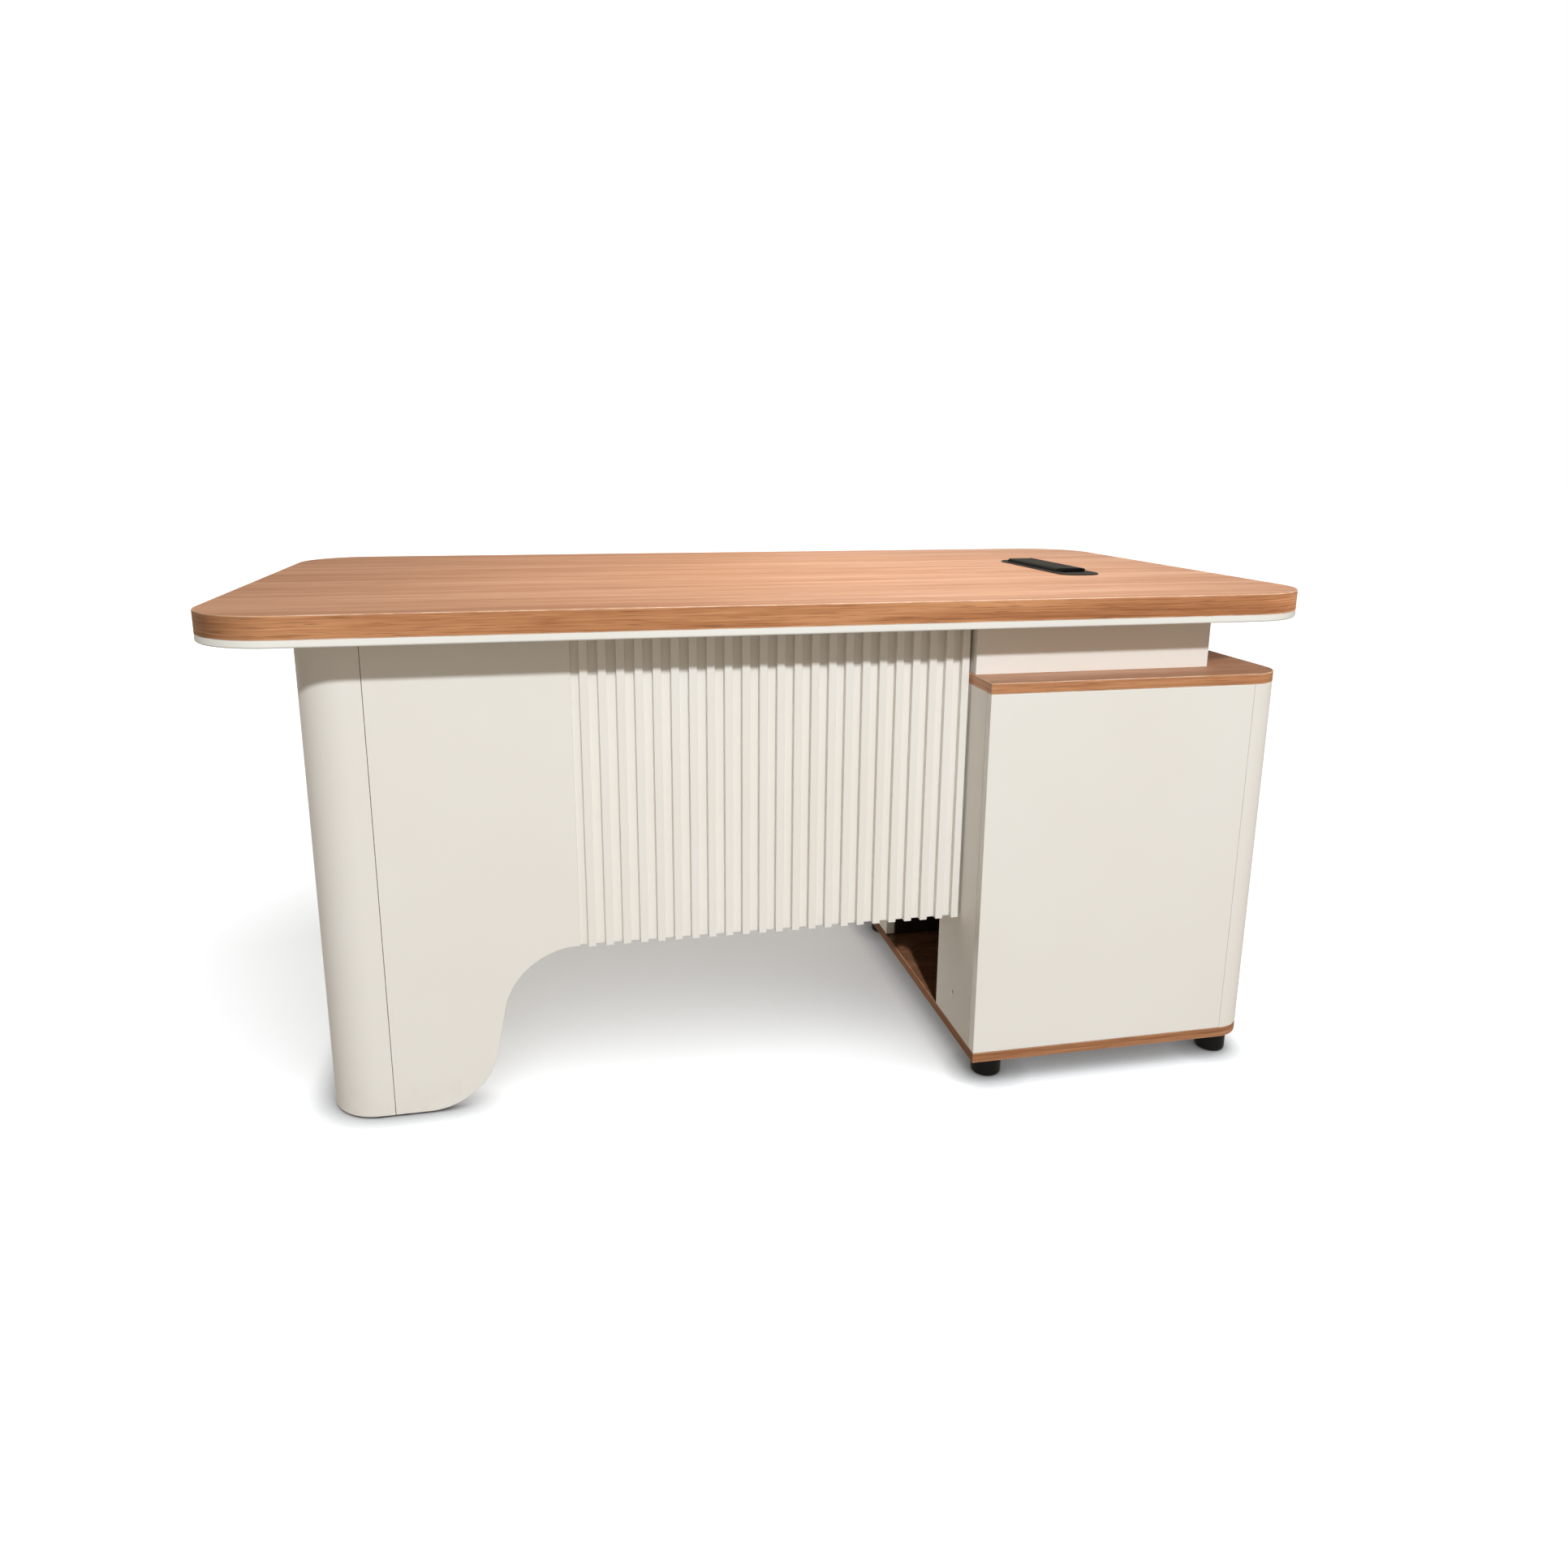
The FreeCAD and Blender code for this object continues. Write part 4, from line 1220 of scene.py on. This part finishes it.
@dataclass
class AngleIrons:
    """Steel angles that hold the top to the leg and to the riser, with their screws."""

    leg: float = 0.030
    wall: float = 0.002
    width: float = 0.026
    inset: float = 0.110
    bend: float = 0.003
    bend_steps: int = 6
    arris: float = 0.0004
    screw_radius: float = 0.004
    screw_height: float = 0.0022
    crown_share: float = 0.7
    socket_share: float = 0.3
    shoulder_share: float = 0.4

    def build(self) -> None:
        """Build all the angles as one piece and all the screws as another."""
        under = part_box("desktop_underlay")[0].z
        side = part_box("leg_side_panel")
        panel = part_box("leg_front_panel")
        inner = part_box("riser_inner_panel")
        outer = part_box("riser_outer_panel")
        near = inner[0].y + self.inset
        far = inner[1].y - self.inset
        places = [(x, y, 0) for x in (side[1].x, inner[1].x) for y in (near, far)]
        places += [(outer[0].x, y, 180) for y in (near, far)]
        places += [(x, panel[1].y, 90) for x in (panel[0].x + self.width, panel[1].x - self.width)]
        angles = new_shape()
        screws = new_shape()
        for x, y, turn in places:
            spot = Matrix.Translation((x, y, under)) @ Matrix.Rotation(math.radians(turn), 4, "Z")
            self.add_angle(angles, spot)
            self.add_screws(screws, spot)
        soften(angles, self.arris)
        deliver("angle_irons", angles, [ZINC], "angle_brackets")
        deliver("angle_screws", screws, [ZINC])

    def add_angle(self, bm: BMesh, spot: Matrix) -> None:
        """Add one bent angle.

        Args:
            bm: The shape of all the angles.
            spot: The angle's place and turn.
        """
        leg, wall = self.leg, self.wall
        spots = [(0, -leg), (wall, -leg), (wall, -wall), (leg, -wall), (leg, 0), (0, 0)]
        single = bmesh.new()
        prism(single, upright(spots, -self.width / 2), {5: self.bend}, BACK * self.width, self.bend_steps)
        bmesh.ops.transform(single, matrix=spot, verts=single.verts[:])
        join(bm, single)

    def add_screws(self, bm: BMesh, spot: Matrix) -> None:
        """Add a pan-head screw in the middle of each leg of an angle.

        Args:
            bm: The shape of all the screws.
            spot: The angle's place and turn.
        """
        radius, height = self.screw_radius, self.screw_height
        socket = radius * self.socket_share
        shoulder = height * self.shoulder_share
        profile = [
            (0, 0),
            (radius, 0),
            (radius, shoulder),
            (radius * self.crown_share, height),
            (socket, height),
            (socket, shoulder),
            (0, shoulder),
        ]
        middle = (self.leg + self.wall) / 2
        turn = spot.to_3x3()
        turned(bm, spot @ Vector((middle, 0, -self.wall)), turn @ -UP, profile, PIN_SIDES)
        turned(bm, spot @ Vector((self.wall, 0, -middle)), turn @ RIGHT, profile, PIN_SIDES)


@dataclass
class Cabinet:
    """The side cabinet's shell, inner walls, runner channels and feet."""

    board_thickness: float = 0.016
    corner: float = 0.050
    arris: float = 0.0010
    joint: float = 0.00015
    hole_radius: float = 0.004
    hole_height: float = 0.108
    hole_sides: int = 32
    filler_arris: float = 0.0007
    foot_radius: float = 0.023
    foot_height: float = 0.037
    foot_sides: int = 48
    foot_tread: tuple[Pair, ...] = ((0.0035, 0), (0.0016, 0.0006), (0.0004, 0.0020), (0, 0.0040))
    foot_groove: tuple[Pair, ...] = ((0, 0.0060), (0.0008, 0.0054), (0.0008, 0.0044), (0, 0.0038))

    def build(self) -> None:
        """Build the shell, then the inner walls, then the feet; the runner channels stay as they are."""
        joint, corner = self.joint, {1: self.corner}
        # The bottom board takes darker copies of the walnut finishes: painted shade.
        wood_board("cabinet_floor", "cabinet_bottom_board", corner, self.arris, WALNUT_SHADED_INSIDE, BASE_BAND_SHADED)
        wood_board("cabinet_cap", "cabinet_top_board", corner, self.arris)
        bent_post("cabinet_post", "cabinet_corner_post", True, self.board_thickness, self.corner, joint)
        board("cabinet_front", "cabinet_front_panel", CREAM, joint=(joint, 0, joint))
        board("cabinet_outer_side", "cabinet_outer_panel", CREAM, joint=(0, joint, joint))
        board("cabinet_rear", "cabinet_rear_panel", CREAM, joint=(0, 0, joint))
        self.build_filler()
        board("niche_front_wall", "niche_front_partition", DARK_WALNUT)
        board("niche_rear_wall", "niche_rear_partition", DARK_WALNUT)
        board("bay_wall", "bay_divider", DARK_WALNUT)
        self.build_feet()
        plain("drawer_runner_channels", ZINC)

    def build_filler(self) -> None:
        """The filler panel with its one spare hole."""
        low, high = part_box("cabinet_filler_panel")
        low.y += 2 * JOINT
        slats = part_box("modesty_backing_board")
        middle = Vector((low.x, (slats[0].y + slats[1].y) / 2, self.hole_height))
        spots = [(low.y, low.z), (high.y, low.z), (high.y, high.z), (low.y, high.z)]
        bm = new_shape()
        verts = [bm.verts.new((low.x, y, z)) for y, z in spots]
        for pair in zip(verts, verts[1:] + verts[:1]):
            bm.edges.new(pair)
        face_on = Matrix.Translation(middle) @ Matrix.Rotation(math.radians(90), 4, "Y")
        rim = {"radius": self.hole_radius, "segments": self.hole_sides, "matrix": face_on}
        bmesh.ops.create_circle(bm, cap_ends=False, **rim)
        bmesh.ops.triangle_fill(bm, use_beauty=True, edges=bm.edges[:])
        raise_faces(bm, bm.faces[:], RIGHT * (high.x - low.x))
        soften(bm, self.filler_arris)
        deliver("filler_panel", bm, [CREAM], "cabinet_filler_panel")

    def build_feet(self) -> None:
        """Six turned feet with a rounded tread and a groove near the top."""
        low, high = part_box("cabinet_feet")
        radius, height = self.foot_radius, self.foot_height
        tread = [(radius - inset, rise) for inset, rise in self.foot_tread]
        groove = [(radius - inset, height - drop) for inset, drop in self.foot_groove]
        profile = [(0, 0), *tread, *groove, (radius, height), (0, height)]
        bm = new_shape()
        for x in (low.x + radius, high.x - radius):
            for y in (low.y + radius, (low.y + high.y) / 2, high.y - radius):
                turned(bm, Vector((x, y, low.z)), UP, profile, self.foot_sides)
        deliver("cabinet_foot_set", bm, [BLACK], "cabinet_feet")


@dataclass
class Riser:
    """The riser between the cabinet and the top."""

    arris: float = 0.0008

    def build(self) -> None:
        """Build its three panels."""
        board("riser_front", "riser_front_panel", CREAM, arris=self.arris)
        board("riser_inner_side", "riser_inner_panel", CREAM, arris=self.arris)
        board("riser_outer_side", "riser_outer_panel", CREAM, arris=self.arris)


@dataclass
class Drawer:
    """One drawer on side runners."""

    number: int
    side: float = 0.012
    side_arris: float = 0.0007
    base_arris: float = 0.0005

    def build(self) -> None:
        """Build the front and the box; the runner bars stay as they are."""
        label = f"drawer_{self.number}"
        finger_front(f"{label}_face", f"{label}_front", label)
        low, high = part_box(f"{label}_sides")
        bm = new_shape()
        block(bm, low, Vector((high.x, low.y + self.side, high.z)))
        block(bm, Vector((low.x, high.y - self.side, low.z)), high)
        soften(bm, self.side_arris)
        deliver(f"{label}_side_pair", bm, [DRAWER_BOARD], f"{label}_sides", body=label)
        board(f"{label}_rear", f"{label}_back", DRAWER_BOARD, label)
        board(f"{label}_bottom", f"{label}_base", DRAWER_BOARD, label, self.base_arris)
        plain(f"{label}_runner_bars", ZINC)


@dataclass
class DoorBay:
    """The door on its pivots, and the shelf behind it."""

    peg_radius: float = 0.0025
    peg_length: float = 0.009
    peg_arris: float = 0.0006

    def build(self) -> None:
        """Build the door, the shelf and its pegs; the pivots stay as they are."""
        finger_front("door_leaf", "cabinet_door", "door")
        board("bay_shelf", "door_shelf", DARK_WALNUT)
        plain("door_pivots", ZINC)
        low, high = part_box("shelf_pegs")
        radius, length, arris = self.peg_radius, self.peg_length, self.peg_arris
        profile = [(0, 0), (radius, 0), (radius, length - arris), (radius - arris, length), (0, length)]
        bm = new_shape()
        for x in (low.x + radius, high.x - radius):
            turned(bm, Vector((x, low.y, low.z + radius)), BACK, profile, PIN_SIDES)
            turned(bm, Vector((x, high.y, low.z + radius)), -BACK, profile, PIN_SIDES)
        deliver("shelf_peg_set", bm, [ZINC], "shelf_pegs")


@dataclass
class CableBox:
    """The oblong cable box in the top, with its raised lid."""

    plate: float = 0.002
    end_flat: float = 0.014
    end_steps: int = 20
    arris: float = 0.0008
    throat: Pair = (0.038, 0.205)
    throat_wall: float = 0.002
    ear_length: float = 0.006
    ear_gap: float = 0.0005
    lid_bevel: float = 0.003
    lid_arris: float = 0.0007
    hinge_steps: int = 8
    pin_radius: float = 0.0012
    pin_length: float = 0.0145
    pin_arris: float = 0.0003

    def build(self) -> None:
        """Build the frame, the lid and the hinge pins."""
        self.build_frame()
        self.build_lid()
        self.build_pins()

    def build_frame(self) -> None:
        """The plate with rounded ends, the throat below it and the lid's ears."""
        low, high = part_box("cable_box_frame")
        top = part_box("desktop_board")[1].z
        middle = (low + high) / 2
        half = Vector((*self.throat, 0)) / 2
        radius = (high.x - low.x - self.end_flat) / 2
        ends = {number: radius for number in range(4)}
        bm = new_shape()
        prism(bm, flat_corners(low, high, top), ends, UP * self.plate, self.end_steps)
        soften(bm, self.arris, 3, lambda edge: min(vert.co.z for vert in edge.verts) > top + HAIR)
        cut_square(bm, middle - half, middle + half)

        rim = half + Vector((self.throat_wall, self.throat_wall, 0))
        throat = bmesh.new()
        prism(throat, flat_corners(middle - rim, middle + rim, low.z), {}, UP * (top - low.z))
        cut_square(throat, middle - half, middle + half)
        join(bm, throat)
        self.add_ears(bm, top + self.plate)
        deliver("cable_box", bm, [CHARCOAL], "cable_box_frame")

    def add_ears(self, bm: BMesh, base: float) -> None:
        """Add the two ears that carry the hinge pins.

        Args:
            bm: The shape of the frame.
            base: Height of the plate's face.
        """
        low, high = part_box("cable_lid")
        half = (high.z - low.z) / 2
        axis = high.x - half
        left, right = axis - half, axis + half
        spots = [(left, base), (right, base), (right, high.z), (left, high.z)]
        rounds = {number: half * HALF_ROUND for number in (2, 3)}
        for start in (low.y - self.ear_gap - self.ear_length, high.y + self.ear_gap):
            prism(bm, upright(spots, start), rounds, BACK * self.ear_length, self.hinge_steps)

    def build_lid(self) -> None:
        """The lid: a flat leaf with a long bevel for the fingers and a round hinge edge."""
        low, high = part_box("cable_lid")
        half = (high.z - low.z) / 2
        spots = [
            (high.x, low.z),
            (high.x, high.z),
            (low.x + self.lid_bevel, high.z),
            (low.x, high.z - self.lid_bevel),
            (low.x, low.z),
        ]
        rounds = {number: half * HALF_ROUND for number in (0, 1)}
        bm = new_shape()
        prism(bm, upright(spots, low.y), rounds, BACK * (high.y - low.y), self.hinge_steps)
        soften(bm, self.lid_arris, 3)
        deliver("cable_box_lid", bm, [CHARCOAL], "cable_lid", body="cable_lid")

    def build_pins(self) -> None:
        """Two short steel pins on the lid's axis."""
        low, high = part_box("cable_lid_pins")
        radius, length, arris = self.pin_radius, self.pin_length, self.pin_arris
        profile = [
            (0, 0),
            (radius - arris, 0),
            (radius, arris),
            (radius, length - arris),
            (radius - arris, length),
            (0, length),
        ]
        middle = (low + high) / 2
        bm = new_shape()
        turned(bm, Vector((middle.x, low.y, middle.z)), BACK, profile, PIN_SIDES)
        turned(bm, Vector((middle.x, high.y, middle.z)), -BACK, profile, PIN_SIDES)
        deliver("lid_pin_pair", bm, [ZINC], "cable_lid_pins")


class Kind(Enum):
    """Sort of lamp: a disc, a far soft light or a narrow beam."""

    DISC = "AREA"
    FAR = "SUN"
    BEAM = "SPOT"


class Reach(Enum):
    """Whether a lamp lights only the pieces that it names, or all but those."""

    ONLY = "INCLUDE"
    ALL_BUT = "EXCLUDE"


@dataclass(frozen=True)
class Lamp:
    """One lamp; a disc's size is in metres, and that of the other kinds in degrees."""

    name: str
    kind: Kind
    power: float
    place: Triple
    aim: Triple
    size: float
    reach: Reach
    pieces: tuple[str, ...]
    mirrored: bool = True
    scattered: bool = True
    tint: Triple = (1.0, 1.0, 1.0)
    beam_blend: float = 0.4
    beam_source: float = 0.12

    def hang(self) -> None:
        """Hang the lamp and say which pieces it lights."""
        data = bpy.data.lights.new(self.name, self.kind.value)
        data.energy = self.power
        data.color = self.tint
        if self.kind is Kind.FAR:
            data.angle = math.radians(self.size)
        elif self.kind is Kind.BEAM:
            data.spot_size = math.radians(self.size)
            data.spot_blend = self.beam_blend
            data.shadow_soft_size = self.beam_source
        else:
            data.shape = "DISK"
            data.size = self.size
        lamp = bpy.data.objects.new(self.name, data)
        lamp.location = self.place
        lamp.visible_camera = False
        lamp.visible_glossy = self.mirrored
        lamp.visible_diffuse = self.scattered
        beam = Vector(self.aim) - Vector(self.place)
        lamp.rotation_euler = beam.to_track_quat("-Z", "Y").to_euler()
        bpy.context.scene.collection.objects.link(lamp)
        lit = bpy.data.collections.new(f"{self.name}_reach")
        for piece in self.pieces:
            lit.objects.link(bpy.data.objects[piece])
        for entry in lit.collection_objects:
            entry.light_linking.link_state = self.reach.value
        lamp.light_linking.receiver_collection = lit


COOL = (0.94, 0.99, 1.03)
FLOOR = ("floor",)
TOP = ("walnut_top",)
FILLER = ("filler_panel",)
NICHE_FLOOR = ("cabinet_floor",)
NICHE = ("cabinet_floor", "niche_front_wall", "niche_rear_wall", "filler_panel", "cabinet_outer_side")
RIGHT_SIDE = ("cabinet_outer_side", "riser_outer_side", "cabinet_post")
LEFT_SIDE = ("leg_side", "leg_post")
LEFT_KEY = (-0.4, -6.5, 4.1)
RIGHT_KEY = (0.6, -6.5, 4.1)
TOP_KEY = (4.2, -6.0, 2.6)
KEY_SIZE = 0.36
KEY_AIM = (0.0, -0.4, 0.4)
MIDDLE = (0.0, 0.0, 0.0)
NICHE_AIM = (0.29, -0.22, 0.053)
FILLER_AIM = (0.5, -0.35, 0.12)
LOW_LEFT = (0.1, -0.35, 0.04)
REAR_WAY = (-0.3, 0.93, 0.15)
RIGHT_WAY = (0.75, 0.62, 0.2)
LEFT_WAY = (-0.5, 0.85, 0.2)


def lamps() -> tuple[Lamp, ...]:
    """The studio's lamps: keys for the fronts and the top, fills for the other sides, and a floor wash.

    Returns:
        The lamps.
    """
    only, all_but = Reach.ONLY, Reach.ALL_BUT
    disc, far, beam = Kind.DISC, Kind.FAR, Kind.BEAM
    return (
        Lamp("left_key", disc, 165.0, LEFT_KEY, KEY_AIM, KEY_SIZE, all_but, FLOOR + TOP, tint=COOL),
        Lamp("right_key", disc, 180.0, RIGHT_KEY, KEY_AIM, KEY_SIZE, all_but, FLOOR + TOP, tint=COOL),
        Lamp("top_key", disc, 395.0, TOP_KEY, KEY_AIM, KEY_SIZE, only, TOP, mirrored=False),
        Lamp("soft_lamp", disc, 11.5, (0.2, -0.2, 1.75), (0.2, -0.2, 0.7), 0.6, all_but, FLOOR),
        Lamp("sheen", disc, 11.0, (1.9, 2.8, 1.2), (0.5, 0, 0.75), 2.6, only, TOP, scattered=False),
        Lamp("rear_fill", far, 2.3, REAR_WAY, MIDDLE, 60, all_but, FLOOR + NICHE, mirrored=False),
        Lamp("right_fill", far, 1.3, RIGHT_WAY, MIDDLE, 60, only, RIGHT_SIDE, mirrored=False, tint=COOL),
        Lamp("left_fill", far, 1.5, LEFT_WAY, MIDDLE, 20, only, LEFT_SIDE, mirrored=False, tint=COOL),
        Lamp("filler_glow", disc, 0.11, LOW_LEFT, FILLER_AIM, 0.3, only, FILLER, mirrored=False),
        Lamp("niche_beam", beam, 4500.0, LEFT_KEY, NICHE_AIM, 1.6, only, NICHE_FLOOR, mirrored=False),
        Lamp("floor_wash", far, 3.1, (0.31, -0.62, 0.84), MIDDLE, 80, only, FLOOR),
    )


@dataclass
class Studio:
    """Pale floor, soft light and the camera."""

    eye: Triple = (-0.33507, -1.95875, 0.92984)
    yaw: float = 11.33
    pitch: float = 13.02
    roll: float = 0.22
    lens: float = 24.882
    sensor: float = 36.0
    shift: Pair = (0.01307, -0.04548)
    sky_front: Colour = (0.530, 0.480, 0.410, 1.0)
    sky_rear: Colour = (0.150, 0.136, 0.116, 1.0)
    sky_lean: Pair = (1.2, -0.6)
    sky_span: Pair = (-0.9, 0.9)
    backdrop: Colour = (1.0, 1.0, 1.0, 1.0)
    floor_half: float = 40.0
    floor_drop: float = 0.0002
    floor_matt: Colour = (0.12, 0.108, 0.092, 1.0)
    # A glow that the floor throws on the desk, though the floor is no lamp: painted light.
    floor_fill: Colour = (0.172, 0.148, 0.120, 1.0)
    pale: Colour = (0.91, 0.955, 1.0, 1.0)
    glow: float = 0.27
    # The floor's glow to the camera, and the reach, depth, colour and samples of its painted contact shadow.
    contact: float = 0.05
    contact_depth: float = 1.5
    contact_shade: Colour = (0.02, 0.02, 0.02, 1.0)
    contact_samples: int = 8

    def build(self) -> None:
        """Set up the stage."""
        self.build_floor()
        self.build_world()
        for lamp in lamps():
            lamp.hang()
        self.build_camera()
        view = bpy.context.scene.view_settings
        view.view_transform = "Standard"
        view.look = "None"

    def build_floor(self) -> None:
        """A pale floor that runs on to a white horizon."""
        bm = bmesh.new()
        bmesh.ops.create_grid(bm, x_segments=1, y_segments=1, size=self.floor_half)
        bmesh.ops.translate(bm, vec=UP * -self.floor_drop, verts=bm.verts[:])
        mesh = bpy.data.meshes.new("floor")
        bm.to_mesh(mesh)
        bm.free()
        mesh.materials.append(self.floor_material())
        floor = bpy.data.objects.new("floor", mesh)
        bpy.context.scene.collection.objects.link(floor)

    def floor_material(self) -> Material:
        """Near white, with the floor wash's shadow where the desk stands and a painted contact shadow near
        the desk; what it throws back on the desk is a dimmer diffuse plus a painted glow.

        Returns:
            The material.
        """
        made = bpy.data.materials.new("pale_floor")
        bench = Bench.clear(made)
        seen = bench.add("ShaderNodeLightPath").outputs["Is Camera Ray"]
        matt = bench.add("ShaderNodeBsdfDiffuse", {"Color": self.floor_matt})
        # Painted light: a glow from the floor that lights the desk.
        fill = bench.add("ShaderNodeEmission", {"Color": self.floor_fill})
        bounce = bench.add("ShaderNodeAddShader", {0: matt.outputs[0], 1: fill.outputs[0]})
        # Ambient occlusion darkens the floor's colour and glow near the desk: a painted contact shadow.
        reach = {"Distance": self.contact}
        near = bench.add("ShaderNodeAmbientOcclusion", reach, samples=self.contact_samples).outputs["AO"]
        shade = bench.mix(bench.sum("POWER", near, self.contact_depth), self.contact_shade, self.pale)
        pale = bench.add("ShaderNodeBsdfDiffuse", {"Color": shade})
        glow = bench.add("ShaderNodeEmission", {"Strength": bench.sum("MULTIPLY", near, self.glow)})
        lit = bench.add("ShaderNodeAddShader", {0: pale.outputs[0], 1: glow.outputs[0]})
        both = bench.add("ShaderNodeMixShader", {0: seen, 1: bounce.outputs[0], 2: lit.outputs[0]})
        bench.add("ShaderNodeOutputMaterial", {"Surface": both.outputs[0]})
        return made

    def build_world(self) -> None:
        """Soft light, strongest in front on the right, with a white backdrop behind the desk."""
        world = bpy.data.worlds.new("studio")
        bench = Bench.clear(world)
        seen = bench.add("ShaderNodeLightPath").outputs["Is Camera Ray"]
        way = bench.add("ShaderNodeTexCoord").outputs["Generated"]
        parts = bench.add("ShaderNodeSeparateXYZ", {0: way}).outputs
        share = bench.span(bench.weigh(*zip(parts, self.sky_lean)), self.sky_span)
        soft = bench.add("ShaderNodeBackground", {"Color": bench.mix(share, self.sky_rear, self.sky_front)})
        white = bench.add("ShaderNodeBackground", {"Color": self.backdrop})
        both = bench.add("ShaderNodeMixShader", {0: seen, 1: soft.outputs[0], 2: white.outputs[0]})
        bench.add("ShaderNodeOutputWorld", {"Surface": both.outputs[0]})
        bpy.context.scene.world = world

    def build_camera(self) -> None:
        """The camera where the photograph was taken from."""
        data = bpy.data.cameras.new("camera")
        data.sensor_width = self.sensor
        data.lens = self.lens
        data.shift_x, data.shift_y = self.shift
        camera = bpy.data.objects.new("camera", data)
        turn = Matrix.Rotation(math.radians(-self.yaw), 4, "Z")
        tilt = Matrix.Rotation(math.radians(90 - self.pitch), 4, "X")
        roll = Matrix.Rotation(math.radians(self.roll), 4, "Z")
        camera.matrix_world = Matrix.Translation(self.eye) @ turn @ tilt @ roll
        bpy.context.scene.collection.objects.link(camera)
        bpy.context.scene.camera = camera


def main() -> None:
    """Build the desk in order, and then the stage."""
    logging.basicConfig(level=logging.INFO, format="%(message)s")
    assemblies = [Desktop(), CurvedLeg(), SlattedPanel(), AngleIrons(), Cabinet(), Riser()]
    assemblies += [Drawer(number) for number in (1, 2, 3)]
    assemblies += [DoorBay(), CableBox(), Studio()]
    for assembly in assemblies:
        assembly.build()


if __name__ == "__main__":
    main()
